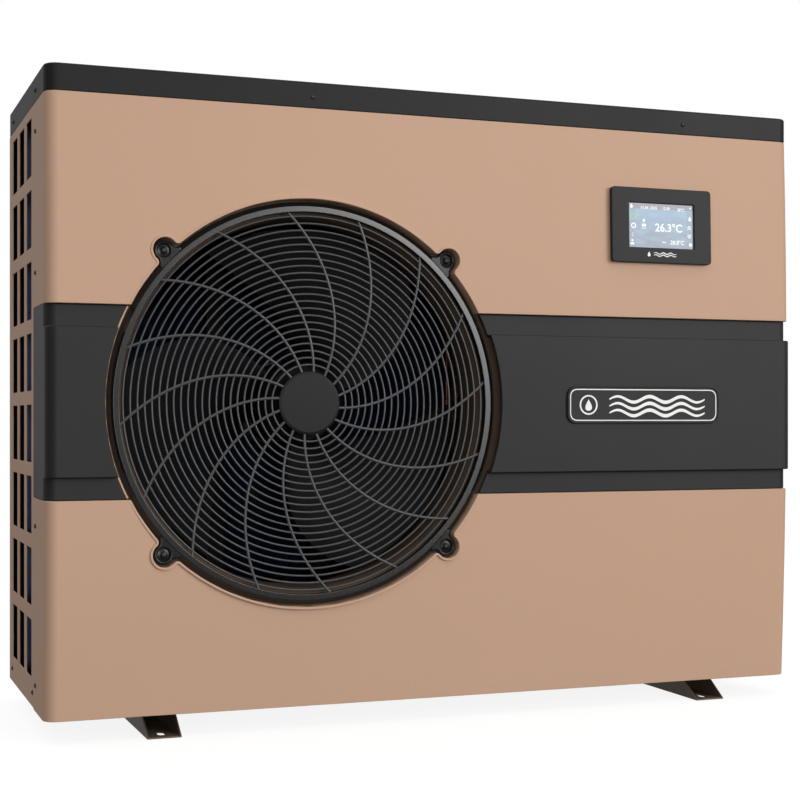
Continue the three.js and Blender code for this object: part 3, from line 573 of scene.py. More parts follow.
def grown(name, sizes, build, finish, base=None):
    """The mesh that a geometry node tree makes from named sizes."""
    tree = bpy.data.node_groups.new(name, "GeometryNodeTree")
    shape_type = "NodeSocketGeometry"
    tree.interface.new_socket("Geometry", in_out="INPUT", socket_type=shape_type)
    for key, value in sizes.items():
        kind = "NodeSocketObject"
        if isinstance(value, int):
            kind = "NodeSocketInt"
        elif isinstance(value, float):
            kind = "NodeSocketFloat"
        tree.interface.new_socket(key, in_out="INPUT", socket_type=kind)
    tree.interface.new_socket("Geometry", in_out="OUTPUT", socket_type=shape_type)
    net = Net(tree)
    entry = net.add("NodeGroupInput")
    size = {key: Signal(net, entry.outputs[key]) for key in sizes}
    shape = build(net, size, entry.outputs["Geometry"])
    real = net.add("GeometryNodeRealizeInstances", {}, {0: shape})
    sockets = {"Geometry": real.outputs[0], "Material": finish}
    coat = net.add("GeometryNodeSetMaterial", {}, sockets)
    net.add("NodeGroupOutput", {}, {0: coat.outputs[0]})
    obj = linked(name, base or bpy.data.meshes.new(name))
    modifier = obj.modifiers.new(name, "NODES")
    modifier.node_group = tree
    for item in tree.interface.items_tree:
        if item.in_out == "INPUT" and item.name in sizes:
            modifier[item.identifier] = sizes[item.name]
    return settled(obj)


# ---- Fan guard ------------------------------------------------------------------------------

GUARD_RADIUS = (guard_high.x - guard_low.x) / 2
BAND_WIDTH = 0.014
BAND_FLAT = 0.0078
BAND_DROP = 0.0055
LUG_CIRCLE = 0.286
LUG_RADIUS = 0.0135
LUG_FILLET = 0.009
LUG_HOLE = 0.0085
LUG_SET_BACK = 0.0012
LUG_ROOT = 0.004
WIRE_SET_BACK = 0.0052
LUG_TURNS = [TAU / 8 + k * TAU / 4 for k in range(4)]
HUB_RADIUS = 0.0435


def lobed_outline(margin, arc_steps=40):
    """The guard's round outline with its four lugs, grown by `margin`."""
    body = GUARD_RADIUS + margin
    lug = LUG_RADIUS + margin
    fillet = LUG_FILLET - margin
    far = body + fillet
    cosine = (far**2 + LUG_CIRCLE**2 - (lug + fillet) ** 2) / (2 * far * LUG_CIRCLE)
    half = math.acos(cosine)

    def sweep(centre, radius, start, end, steps):
        turns = [start + (end - start) * k / steps for k in range(steps + 1)]
        return [polar(radius, turn, *centre) for turn in turns]

    def heading(a, b):
        return math.atan2(b.y - a.y, b.x - a.x)

    points = []
    for turn in LUG_TURNS:
        hub = polar(LUG_CIRCLE, turn)
        before = polar(far, turn - half)
        after = polar(far, turn + half)
        inward = turn - half + math.pi
        back = (inward - heading(before, hub)) % TAU
        points += sweep(before, fillet, inward, inward - back, 8)
        start = heading(hub, before)
        round_lug = (heading(hub, after) - start) % TAU
        points += sweep(hub, lug, start, start + round_lug, 24)[1:]
        leave = heading(after, hub)
        back = (leave - (turn + half + math.pi)) % TAU
        points += sweep(after, fillet, leave, leave - back, 8)[1:]
        points += sweep((0, 0), body, turn + half, turn + TAU / 4 - half, arc_steps)[1:-1]
    return points


def guard_wires(net, size, _):
    """Thin rings round the axis, and ribs that curve from the band to the hub."""
    index = net.signal("GeometryNodeInputIndex")

    def swept(points, spine, width_key, **changes):
        sockets = {"Points": points, "Instance": spine, **changes}
        copies = net.add("GeometryNodeInstanceOnPoints", {}, sockets)
        spines = net.add("GeometryNodeRealizeInstances", {}, {0: copies})
        section = {"Resolution": 10, "Radius": size[width_key]}
        profile = net.add("GeometryNodeCurvePrimitiveCircle", {"mode": "RADIUS"}, section)
        sockets = {"Curve": spines, "Profile Curve": profile, "Fill Caps": True}
        return net.add("GeometryNodeCurveToMesh", {}, sockets)

    ring_points = net.add("GeometryNodePoints", {}, {"Count": size["Rings"]})
    unit = {"Resolution": 144, "Radius": 1.0}
    ring = net.add("GeometryNodeCurvePrimitiveCircle", {"mode": "RADIUS"}, unit)
    radius = size["First ring radius"] - index * size["Ring pitch"]
    rings = swept(ring_points, ring, "Ring half width", Scale=radius)

    stations = 20
    line = net.add("GeometryNodeMeshLine", {}, {"Count": stations + 1})
    along = index / stations
    reach = size["Hub radius"] + along * (size["Band radius"] - size["Hub radius"])
    turn = size["Rib end"] - size["Rib lean"] * (1 - along)
    x = reach * turn.math("COSINE", turn)
    y = reach * turn.math("SINE", turn)
    where = net.add("ShaderNodeCombineXYZ", {}, {"X": x, "Y": y})
    bent = net.add("GeometryNodeSetPosition", {}, {"Geometry": line, "Position": where})
    spine = net.add("GeometryNodeMeshToCurve", {}, {0: bent})
    rib_points = net.add("GeometryNodePoints", {}, {"Count": size["Ribs"]})
    step = index * TAU / size["Ribs"]
    rotation = net.add("ShaderNodeCombineXYZ", {}, {"Z": step})
    ribs = swept(rib_points, spine, "Rib half width", Rotation=rotation)
    join = net.add("GeometryNodeJoinGeometry")
    for shape in (rings, ribs):
        net.tree.links.new(shape.outputs[0], join.inputs[0])
    return join


guard_sizes = {
    "Rings": 22,
    "First ring radius": 0.2565,
    "Ring pitch": 0.0097,
    "Ring half width": 0.00145,
    "Ribs": 16,
    "Rib half width": 0.0021,
    "Rib end": 1.688,
    "Rib lean": 0.667,
    "Hub radius": 0.0415,
    "Band radius": 0.263,
}
# The wires' lighter grey is painted highlight on the guard's black plastic.
wires = grown("guard_wires", guard_sizes, guard_wires, wire_plastic_painted_highlight)
wire_y = guard_low.y + WIRE_SET_BACK
set_in(wires, on_fan_axis(wire_y))
piece("guard_wires", wires, None, degrees=60, even=False)

guard_back = on_fan_axis(guard_high.y)
band_depth = guard_high.y - guard_low.y
# The band's flat face slopes back near its outer edge, and the lugs stand out of the slope.
band_in = GUARD_RADIUS - BAND_WIDTH
slope = [
    (band_in, 0),
    (band_in, band_depth),
    (band_in + BAND_FLAT, band_depth),
    (GUARD_RADIUS, band_depth - BAND_DROP),
    (GUARD_RADIUS, 0),
]
band = turned(slope, guard_back, steps=224, ease=0.0008)
piece("guard_band", band, band_plastic_face, replaces=["fan_guard"])


def guard_lug(turn):
    """One lug: its own part of the lobed outline, rooted in the band, with its screw hole."""
    towards = polar(1, turn)
    lobe = [p for p in lobed_outline(0) if p.length > GUARD_RADIUS + 1e-6 and p.dot(towards) > 0.2]
    root = [end.normalized() * (band_in + LUG_ROOT) for end in (lobe[-1], lobe[0])]
    hole = circle(LUG_HOLE, 28, *polar(LUG_CIRCLE, turn))
    depth = band_depth - LUG_SET_BACK
    return plate([lobe + root], depth, guard_back, ease=0.0026, holes=[hole], ease_steps=4)


lug_plates = [guard_lug(turn) for turn in LUG_TURNS]
piece("guard_lugs", joined(lug_plates), guard_plastic)
hub_plate = turned(
    [(0, -0.003), (HUB_RADIUS, -0.003), (HUB_RADIUS, 0.0025), (0.04, 0.0038), (0, 0.0046)],
    on_fan_axis(wire_y),
    ease=0.001,
)
piece("guard_hub", hub_plate, hub_plastic)


# ---- Screws ---------------------------------------------------------------------------------


def cross_screw(radius):
    """A pan head screw with a cross recess, facing up its own z axis."""
    shank, root = 0.45 * radius, -0.002
    profile = [(0, root), (shank, root), (shank, 0), (radius, 0), (radius, 0.25 * radius)]
    profile += [(radius * 0.8, 0.52 * radius), (radius * 0.4, 0.66 * radius), (0, 0.7 * radius)]
    head_obj = linked("head", turned(profile, ORIGIN, UP, 24))
    cutters = []
    for turn in (0, TAU / 4):
        bar = plate([rectangle(1.15 * radius, 0.26 * radius)], radius, ORIGIN, UP)
        set_in(bar, (0, 0, 0.22 * radius), UP, turn)
        cutters.append(linked("cutter", bar))
    for cutter in cutters:
        modifier = head_obj.modifiers.new("recess", "BOOLEAN")
        modifier.operation = "DIFFERENCE"
        modifier.solver = "EXACT"
        modifier.object = cutter
    made = settled(head_obj)
    for cutter in cutters:
        bpy.data.objects.remove(cutter)
    return made


def set_screws(net, size, points):
    """A screw at each point, facing along the point's own direction."""
    info = net.add("GeometryNodeObjectInfo", {}, {"Object": size["Screw"]})
    vector = {"data_type": "FLOAT_VECTOR"}
    attribute = net.add("GeometryNodeInputNamedAttribute", vector, {"Name": "facing"})
    aligned = net.add("FunctionNodeAlignRotationToVector", {"axis": "Z"}, {"Vector": attribute})
    spin = net.signal("GeometryNodeInputIndex") * 0.7
    own_turn = net.add("ShaderNodeCombineXYZ", {}, {"Z": spin})
    turns = {"Rotation": aligned, "Rotate By": own_turn}
    local = net.add("FunctionNodeRotateRotation", {"rotation_space": "LOCAL"}, turns)
    sockets = {"Points": points, "Instance": info.outputs["Geometry"], "Rotation": local}
    return net.add("GeometryNodeInstanceOnPoints", {}, sockets)


def screw_set(name, radius, places, finish, replaces=()):
    """Screws at (place, facing) pairs, as one piece."""
    base = bpy.data.meshes.new(name)
    base.from_pydata([tuple(p) for p, _ in places], [], [])
    attribute = base.attributes.new("facing", "FLOAT_VECTOR", "POINT")
    for item, (_, way) in zip(attribute.data, places):
        item.vector = way
    template = linked("screw_pattern", cross_screw(radius))
    made = grown(name, {"Screw": template}, set_screws, finish, base)
    bpy.data.objects.remove(template)
    piece(name, made, None, replaces=replaces, even=False)


TO_FRONT = (0, -1, 0)
TO_LEFT = (-1, 0, 0)
TO_RIGHT = (1, 0, 0)
TO_BACK = (0, 1, 0)

SCREW_SET_BACK = 0.0014
lug_face = on_fan_axis(guard_low.y + SCREW_SET_BACK)
lug_places = [lug_face + FRONT @ polar(LUG_CIRCLE, turn).to_3d() for turn in LUG_TURNS]
lug_screws = [(place, TO_FRONT) for place in lug_places]
guard_screw_nodes = [f"guard_screw_{k + 1}" for k in range(4)]
screw_set("guard_screws", 0.004, lug_screws, dark_steel, guard_screw_nodes)
boss = [(0, -0.005), (0.0092, -0.005), (0.0092, -0.0034), (0.0046, -0.0024)]
boss += [(0.0044, -0.0004), (0, -0.0004)]
bosses = [turned(boss, place, ease=0.0004, steps=32) for place in lug_places]
piece("guard_bosses", joined(bosses), guard_plastic)

lid_screw_z = middle("lid_screw_1").z
seam_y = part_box("left_side_grille")[0].y
rear_y = case_high.y
rear_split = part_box("rear_service_panel")[0].x
small_screws = []


def add_screws(way, xs, ys, zs):
    """A small screw at every pairing of these places, all facing one way."""
    small_screws.extend((Vector((x, y, z)), way) for x in xs for y in ys for z in zs)


lid_xs = [middle(node).x for node in ("lid_screw_1", "lid_screw_2")]
add_screws(TO_FRONT, lid_xs, [case_low.y], [lid_screw_z])
for side_x, side_way in ((case_low.x, TO_LEFT), (case_high.x, TO_RIGHT)):
    add_screws(side_way, [side_x], [seam_y - 0.024, rear_y - 0.05], [lid_screw_z])
    add_screws(side_way, [side_x], [seam_y - 0.024], [0.066, 0.28, 0.62, 0.81])
    add_screws(side_way, [side_x], [seam_y + 0.006, rear_y - 0.037], [0.052])
service_xs = [rear_split + 0.014, (rear_split + case_high.x) / 2, case_high.x - 0.014]
add_screws(TO_BACK, service_xs, [rear_y], [0.046, 0.46, 0.83])
grille_xs = [case_low.x + 0.016, rear_split - 0.012]
add_screws(TO_BACK, grille_xs, [rear_y], [0.046, 0.32, 0.59, 0.83])
screw_set("casing_screws", 0.0032, small_screws, dark_steel, ["lid_screw_1", "lid_screw_2"])


# ---- Casing ---------------------------------------------------------------------------------

for node in ("upper_front_panel", "lower_front_panel"):
    eased_node(node, copper_paint, 0.0009, 3)
for node in ("band_left", "band_right"):
    eased_node(node, band_plastic, 0.0014, 3)
eased_node("top_cover", lid_paint, 0.0012, 3)

WINDOW_W, WINDOW_H = 0.056, 0.079
WINDOW_PITCH, ROW_PITCH, ROWS = 0.078, 0.0981, 8
FIRST_ROW = 0.0702
# The first window's edge, from the casing's front on the side, and from its left at the rear.
SIDE_FIRST, REAR_FIRST = 0.1305, 0.046
SHEET = 0.0015
FOLD_START = 0.03
UNION_HOLE, GLAND_HOLE, GAUGE_HOLE = 0.0338, 0.0105, 0.0058


def window_rows(first, count, middle_x, middle_z):
    """The grille's windows in the panel's own x and y, from the first window's left edge."""
    found = []
    for row in range(ROWS):
        for column in range(count):
            x = first + column * WINDOW_PITCH + WINDOW_W / 2 - middle_x
            z = FIRST_ROW + row * ROW_PITCH + WINDOW_H / 2 - middle_z
            found.append(rectangle(WINDOW_W, WINDOW_H, 0.0025, 3, x, z))
    return found


def flipped(outlines):
    """The outlines mirrored left to right, for a panel seen from outside."""
    return [[Vector((-p[0], p[1])) for p in reversed(points)] for points in outlines]


def sheet_panel(node, facing, holes, folds):
    """A flat sheet with holes and folded edges, the size of the node."""
    low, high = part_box(node)
    at = middle(node)
    outward = facing.col[2]
    if abs(outward.x) > 0.5:
        width = high.y - low.y
        face_x = high.x if outward.x > 0 else low.x
        place = Vector((face_x, at.y, at.z)) - outward * SHEET
    else:
        width = high.x - low.x
        place = Vector((at.x, high.y, at.z)) - outward * SHEET
    outline = rectangle(width, high.z - low.z, 0.0008, 2)
    face = plate([outline], SHEET, place, facing, 0.0004, holes)
    return joined([face, *folds])


def fold(low, high):
    """A folded edge, as a thin block between two corners."""
    size = high - low
    foot = Vector(((low.x + high.x) / 2, (low.y + high.y) / 2, low.z))
    return plate([rectangle(size.x, size.y)], size.z, foot, UP, 0.0003)


def panel_piece(node, facing, holes=(), folds=()):
    """A sheet panel in copper paint, in place of its node."""
    mesh = sheet_panel(node, facing, holes, folds)
    piece(f"{node}_sheet", mesh, copper_paint, replaces=[node])


left_low, left_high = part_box("left_side_grille")
left_at = middle("left_side_grille")
side_windows = flipped(window_rows(SIDE_FIRST + case_low.y, 3, left_at.y, left_at.z))
left_fold = fold(
    Vector((left_low.x + 0.0004, left_low.y, left_low.z + FOLD_START)),
    Vector((left_high.x, left_low.y + SHEET, left_high.z)),
)
panel_piece("left_side_grille", LEFT, side_windows, [left_fold])
rear_at = middle("rear_grille")
rear_windows = flipped(window_rows(REAR_FIRST + case_low.x, 8, rear_at.x, rear_at.z))
panel_piece("rear_grille", BACK, rear_windows)
service_low, service_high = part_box("rear_service_panel")
service_fold = fold(
    Vector((service_low.x, service_low.y, service_low.z + FOLD_START)),
    Vector((service_low.x + SHEET, service_high.y - 0.0004, service_high.z - 0.004)),
)
panel_piece("rear_service_panel", BACK, folds=[service_fold])
right_low, right_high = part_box("right_side_panel")
right_at = middle("right_side_panel")


def panel_hole(node, radius):
    """A round hole in the right side panel, where the node passes through it."""
    at = middle(node)
    return circle(radius, 48, at.y - right_at.y, at.z - right_at.z)


right_holes = [
    panel_hole("water_inlet_stub", UNION_HOLE),
    panel_hole("water_outlet_stub", UNION_HOLE),
    panel_hole("power_cable_gland", GLAND_HOLE),
    panel_hole("signal_cable_gland", GLAND_HOLE),
    panel_hole("pressure_gauge", GAUGE_HOLE),
]
right_fold = fold(
    Vector((right_low.x, right_low.y, right_low.z + FOLD_START)),
    Vector((right_high.x - 0.0004, right_low.y + SHEET, right_high.z)),
)
panel_piece("right_side_panel", RIGHT, right_holes, [right_fold])
eased_node("base_pan", brown_paint, 0.0005)
for node in ("foot_left", "foot_right"):
    eased_node(node, brown_paint, 0.0007)


def air_ring():
    """The round throat behind the guard, with the rims that show beside the band."""
    low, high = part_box("air_ring")
    throat = 0.254
    ledge_out = LUG_CIRCLE + 0.017
    ledge_y = guard_high.y + 0.0003
    length = high.y - ledge_y
    profile = [(ledge_out, 0), (throat + 0.009, 0), (throat + 0.0045, -0.0035)]
    profile += [(throat + 0.0015, -0.009), (throat, -0.018), (throat, -length)]
    profile += [(throat + 0.002, -length), (throat + 0.002, -0.018), (throat + 0.006, -0.0055)]
    profile += [(throat + 0.011, -0.002), (ledge_out, -0.002)]
    ring = turned(profile, on_fan_axis(ledge_y), steps=192)
    rim_in, rim_out = GUARD_RADIUS + 0.0034, GUARD_RADIUS + 0.006
    sunk = 0.0005
    half = math.asin((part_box("band_right")[1].z - fan_axis.z) / rim_out) - 0.004
    rims = []
    for middle_turn, front in ((0, ledge_y - 0.0035), (math.pi, low.y)):
        turns = [middle_turn - half + 2 * half * k / 48 for k in range(49)]
        outer = [polar(rim_out, turn) for turn in turns]
        inner = [polar(rim_in, turn) for turn in reversed(turns)]
        depth = ledge_y - front + sunk
        rims.append(plate([outer + inner], depth, on_fan_axis(ledge_y + sunk), ease=0.0008))
    return joined([ring, rims[0]]), rims[1]


# The throat and the right rim take the darkened brown, painted shade; the left rim keeps the copper
# paint.
throat_ring, bright_rim = air_ring()
piece("air_ring_throat", throat_ring, painted_shade_throat, replaces=["air_ring"])
piece("air_ring_rim", bright_rim, copper_paint)


def pocket_lip(way, node):
    """The softly rolled edge of a front panel along the guard's pocket."""
    panel_low, panel_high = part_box(node)
    reach = fan_axis.z - panel_high.z if way < 0 else panel_low.z - fan_axis.z
    outer, inner = lobed_outline(0.0062, 160), lobed_outline(0.003, 160)
    count = len(outer)
    kept = [way * point.y > abs(reach) + 0.0006 for point in inner]
    first = next(k for k in range(count) if kept[k] and not kept[k - 1])
    run = [(first + k) % count for k in range(count) if kept[(first + k) % count]]
    outline = [outer[k] for k in run] + [inner[k] for k in reversed(run)]
    return plate([outline], 0.0063, on_fan_axis(panel_low.y + 0.006), ease=0.0008, ease_steps=3)


lips = [pocket_lip(1, "upper_front_panel"), pocket_lip(-1, "lower_front_panel")]
piece("pocket_lips", joined(lips), copper_paint)


# ---- Fan ------------------------------------------------------------------------------------

FAN = "fan"
BLADE_ROOT, BLADE_TIP = 0.054, 0.246
BLADE_FRONT = case_low.y + 0.052
BLADE_SWEEP, BLADE_ARCH = 0.55, 0.009
BLADE_EDGE, BLADE_BODY = 0.0002, 0.0016


def fan_blade(turn):
    """One swept blade, thin at its edges, from the hub to near the throat."""
    stations, across = 14, 18
    rows = []
    for i in range(stations + 1):
        t = i / stations
        radius = BLADE_ROOT + (BLADE_TIP - BLADE_ROOT) * t
        start = turn + BLADE_SWEEP * t * t
        span = 1.05 + 0.35 * math.sin(math.pi * min(t * 0.8, 1))
        rise = 0.052 - 0.008 * t
        row = []
        for side in (1, -1):
            steps = range(across + 1) if side > 0 else range(across - 1, 0, -1)
            for j in steps:
                u = j / across
                arch = math.sin(math.pi * u)
                thick = BLADE_EDGE + BLADE_BODY * arch**0.5
                y = BLADE_FRONT + rise * u - BLADE_ARCH * arch + side * thick
                x, z = polar(radius, start + span * u, fan_axis.x, fan_axis.z)
                row.append((x, y, z))
        rows.append(row)
    mesh = from_grid(rows, wrap=True)
    shape = bmesh.new()
    shape.from_mesh(mesh)
    edges = [e for e in shape.edges if e.is_boundary]
    bmesh.ops.holes_fill(shape, edges=edges)
    bmesh.ops.recalc_face_normals(shape, faces=shape.faces)
    return written(shape, mesh)


def fan_hub():
    """The hub's cup and its boss, with eight ribs between them."""
    depth, wall, bore, boss = 0.072, 0.0045, 0.0066, 0.016
    place = on_fan_axis(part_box("fan_propeller")[0].y)
    profile = [(bore, 0), (0.052, 0), (0.06, -0.008), (0.06, -depth), (0.06 - wall, -depth)]
    profile += [(0.06 - wall, -0.012), (boss, -0.012), (boss, 0.005 - depth)]
    profile += [(bore, 0.005 - depth)]
    parts = [turned(profile, place, ease=0.002)]
    for k in range(8):
        rib = plate([rectangle(0.041, 0.0022, x=0.0355)], depth - 0.018, ORIGIN, UP)
        parts.append(set_in(rib, place + Vector((0, depth - 0.004, 0)), FRONT, TAU * k / 8))
    return parts


wheel = joined(fan_hub() + [fan_blade(k * TAU / 3 + 0.3) for k in range(3)])
piece("fan_wheel", wheel, fan_plastic, FAN, ["fan_propeller"], 50)
nut_low, nut_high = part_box("fan_nut")
shaft_low, shaft_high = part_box("motor_shaft")
WASHER = 0.002
nut_bore = [circle(0.0063, 24)]
nut_back, nut_depth = on_fan_axis(nut_high.y - WASHER), nut_high.y - nut_low.y - WASHER
nut_parts = [
    plate([circle(0.0112, 6)], nut_depth, nut_back, ease=0.0008, holes=nut_bore),
    plate([circle(0.014, 40)], 0.0022, on_fan_axis(nut_high.y), ease=0.0004, holes=nut_bore),
]
piece("fan_nut_washer", joined(nut_parts), zinc_steel, FAN, ["fan_nut"])
shaft_end = shaft_low.y - shaft_high.y
shaft_profile = [(0, 0), (0.005, 0), (0.006, -0.001), (0.006, shaft_end), (0, shaft_end)]
shaft = turned(shaft_profile, on_fan_axis(shaft_low.y), steps=40)
piece("motor_shaft_turned", shaft, zinc_steel, FAN, ["motor_shaft"], 60)


def motor():
    """The fan motor: a finned can with end bells and the ears it hangs by."""
    low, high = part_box("fan_motor")
    end = low.y - high.y + 0.0015
    profile = [(0.007, 0), (0.024, 0), (0.026, -0.01), (0.056, -0.014), (0.0605, -0.022)]
    profile += [(0.0605, end + 0.0085), (0.054, end), (0.007, end)]
    can = turned(profile, on_fan_axis(low.y), ease=0.003)
    rib = [(0.058, 0), (0.062, 0), (0.062, -0.0022), (0.058, -0.0022)]
    first_rib, rib_pitch = low.y + 0.026, 0.006
    ribs = [turned(rib, on_fan_axis(first_rib + rib_pitch * k), ease=0.0007) for k in range(8)]
    strips = [rectangle(0.184, 0.018, 0.005, y=side * 0.03) for side in (-1, 1)]
    ears = [plate([strip], 0.004, on_fan_axis(high.y), ease=0.0006) for strip in strips]
    return joined([can, *ribs, *ears])


piece("fan_motor_finned", motor(), black_enamel, replaces=["fan_motor"])
eased_node("motor_bracket", fan_plastic, 0.0005)


# ---- Coil -----------------------------------------------------------------------------------

COIL_DEPTH = 0.044
COIL_BEND = 0.038
CORE_SHEET = 0.0008
# The tubes' spacing, and the lowest one measured from the coil's middle height.
TUBE_PITCH, LOWEST_TUBE = 0.0254, -0.394
coil_low, coil_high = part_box("evaporator_coil")


def coil_pack(net, size, path):
    """Thin upright fins set across a path."""
    curve = net.add("GeometryNodeMeshToCurve", {}, {0: path})
    spacing = {"Curve": curve, "Length": size["Pitch"]}
    points = net.add("GeometryNodeCurveToPoints", {"mode": "LENGTH"}, spacing)
    sides = {"X": size["Fin thickness"], "Y": size["Fin depth"], "Z": size["Fin height"]}
    sheet = net.add("ShaderNodeCombineXYZ", {}, sides)
    fin = net.add("GeometryNodeMeshCube", {}, {"Size": sheet})
    across = {"axis": "X", "pivot_axis": "Z"}
    tangent = {"Vector": points.outputs["Tangent"]}
    aligned = net.add("FunctionNodeAlignRotationToVector", across, tangent)
    sockets = {"Points": points.outputs[0], "Instance": fin, "Rotation": aligned}
    return net.add("GeometryNodeInstanceOnPoints", {}, sockets)


def coil_path():
    """The middle line of the coil, from the front along the left side and then the back."""
    half = COIL_DEPTH / 2
    corner = [
        (coil_low.x + half, coil_low.y + 0.001),
        (coil_low.x + half, coil_high.y - half),
        (coil_high.x - 0.001, coil_high.y - half),
    ]
    points = filleted(corner, COIL_BEND, 12, is_closed=False)
    height = (coil_low.z + coil_high.z) / 2
    mesh = bpy.data.meshes.new("coil_path")
    edges = [(k, k + 1) for k in range(len(points) - 1)]
    mesh.from_pydata([(p.x, p.y, height) for p in points], edges, [])
    return mesh


coil_sizes = {
    "Pitch": 0.0024,
    "Fin thickness": 0.0003,
    "Fin depth": COIL_DEPTH - 0.002,
    "Fin height": coil_high.z - coil_low.z,
}
fins = grown("coil_pack", coil_sizes, coil_pack, coil_fins, coil_path())
piece("coil_fin_pack", fins, None, replaces=["evaporator_coil"], even=False)


def coil_tubes(net, size, path):
    """Rows of copper tube through the fins, one above the other."""
    ladder = {"Count": size["Rows"], "Offset": (0, 0, TUBE_PITCH)}
    ladder["Start Location"] = (0, 0, LOWEST_TUBE)
    rows = net.add("GeometryNodeMeshLine", {"mode": "OFFSET"}, ladder)
    curve = net.add("GeometryNodeMeshToCurve", {}, {0: path})
    section = {"Resolution": 8, "Radius": size["Tube radius"]}
    profile = net.add("GeometryNodeCurvePrimitiveCircle", {"mode": "RADIUS"}, section)
    sockets = {"Curve": curve, "Profile Curve": profile, "Fill Caps": True}
    tube = net.add("GeometryNodeCurveToMesh", {}, sockets)
    return net.add("GeometryNodeInstanceOnPoints", {}, {"Points": rows, "Instance": tube})


tube_sizes = {"Rows": 32, "Tube radius": 0.0048}
tubes = grown("coil_tubes", tube_sizes, coil_tubes, copper_pipe, coil_path())
piece("coil_tube_rows", tubes, None, degrees=60, even=False)


def coil_core():
    """A dark sheet through the middle of the pack, and the post that closes the casing's rear left
    corner, both painted shade for the fins' shadowed depth.
    """
    path = coil_path()
    places = [v.co.copy() for v in path.vertices]
    bpy.data.meshes.remove(path)
    low, high = coil_low.z + 0.003, coil_high.z - 0.003
    bend = min(places, key=lambda p: abs((p.x - coil_low.x) - (coil_high.y - p.y)))
    post_low, post_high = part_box("left_side_grille")[0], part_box("rear_grille")[1]
    corner = Vector((post_low.x + 0.004, post_high.y - 0.004, 0))
    sheets = []
    for line in (places, [corner, bend]):
        sheet = from_grid([[(p.x, p.y, z) for z in (low, high)] for p in line])
        sheets.append(modified(sheet, ("SOLIDIFY", {"thickness": CORE_SHEET, "offset": 0})))
    return joined(sheets)


# The core's dark blue-black is painted shade behind the side and rear windows.
piece("coil_core", coil_core(), coil_core_painted_shade)


# ---- Badge ----------------------------------------------------------------------------------

badge_low, badge_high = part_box("name_badge")
badge_at = middle("name_badge")
badge_w = badge_high.x - badge_low.x
badge_h = badge_high.z - badge_low.z
badge_back = Vector((badge_at.x, badge_high.y, badge_at.z))
badge_outline = rectangle(badge_w, badge_h, 0.016, 10)
badge_well = rectangle(badge_w - 0.0035, badge_h - 0.0035, 0.0145, 10)
badge = [
    plate([badge_outline], 0.0022, badge_back, ease=0.0008),
    plate([badge_outline], 0.003, badge_back, ease=0.0008, holes=[badge_well]),
]
piece("badge_plate", joined(badge), band_plastic, replaces=["name_badge"])


def droplet(size, x=0.0, y=0.0, steps=40):
    """A drop's outline, point upwards."""
    points = []
    for k in range(steps):
        t = TAU * k / steps
        half_width = size * 0.9 * math.sin(t) * math.sin(t / 2) ** 1.6
        points.append(Vector((x + half_width, y + size * math.cos(t))))
    return points


def wave_line(width, height, thickness, crests, x=0.0, y=0.0, steps=72):
    """A ribbon that waves along x."""
    top, low = [], []
    for k in range(steps + 1):
        t = k / steps
        middle_x = x - width / 2 + width * t
        middle_y = y + height * math.sin(TAU * crests * t)
        taper = thickness / 2 * (0.35 + 0.65 * math.sin(math.pi * t) ** 0.5)
        top.append(Vector((middle_x, middle_y + taper)))
        low.append(Vector((middle_x, middle_y - taper)))
    return low + top[::-1]


ink_back = badge_back - Vector((0, 0.0021, 0))
line_w, line_h = badge_w - 0.008, badge_h - 0.008
line_in = rectangle(line_w - 0.003, line_h - 0.003, 0.011, 10)
emblem_x = 0.034 - badge_w / 2


def inked(outline, holes=()):
    """A thin raised shape on the badge's face."""
    return plate([outline], 0.0005, ink_back, holes=holes)


badge_ink = [
    inked(rectangle(line_w, line_h, 0.0125, 10), [line_in]),
    inked(circle(0.0145, 48, emblem_x), [circle(0.0122, 48, emblem_x)]),
    inked(droplet(0.0085, emblem_x)),
]
for wave_z in (0.0085, -0.0015, -0.0115):
    badge_ink.append(inked(wave_line(0.16, 0.0042, 0.0052, 3, 0.022, wave_z)))
piece("badge_graphic", joined(badge_ink), ink_white)


# ---- Controller -----------------------------------------------------------------------------

bezel_low, bezel_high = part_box("controller_bezel")
screen_at = middle("controller_bezel")
FACE_TILT = -0.0233
BEZEL_W, BEZEL_H = bezel_high.x - bezel_low.x, 0.111
SCREEN_W, SCREEN_H = 0.109, 0.066
PANEL_THICK, PANEL_GAP = 0.0016, 0.0006
SIGN_THICK = 0.0002
bezel_back = Vector((screen_at.x, bezel_high.y - 0.0015, screen_at.z))
bezel_outline = rectangle(BEZEL_W, BEZEL_H, 0.0065, 8)
screen_hole = [rectangle(SCREEN_W, SCREEN_H, 0.0008, 2)]
bezel = plate([bezel_outline], 0.0068, bezel_back, FRONT, 0.0012, screen_hole, 4, FACE_TILT)
piece("bezel_frame", bezel, bezel_plastic, replaces=["controller_bezel"])


def screen_finish():
    """A lit display: cool blue water with brighter ripples and a darker strip at each edge."""
    made = Finish("display_glow")
    x = made.along(0) - screen_at.x
    z = made.along(2) - screen_at.z
    ripple = made.noise(34.0, 3.0, (1, 1, 4))
    deep = made.mix(made.ramp(z, -0.03, 0.02), linear(112, 122, 142), linear(122, 156, 184))
    lit = made.mix(made.ramp(ripple, 0.4, 0.7) * 0.35, deep, linear(152, 192, 216))
    top = z > 0.0245
    strip = made.mix(top, lit, linear(126, 122, 134))
    edge = x.math("ABSOLUTE", x) > 0.0435
    made.feed("Emission Color", made.mix(edge * 0.45, strip, linear(110, 128, 138)))
    made.set(Emission_Strength=0.85, Base_Color=(0.01, 0.012, 0.014, 1), Roughness=0.12)
    return made.material


def glow(name, colour, strength):
    """A lit sign on the display, faintly uneven."""
    made = Finish(name)
    patch = made.noise(300.0, 1.0)
    made.feed("Emission Color", made.mix(patch, scaled(colour, 0.94), colour))
    made.set(Emission_Strength=strength, Base_Color=(0.02, 0.02, 0.02, 1), Roughness=0.3)
    return made.material


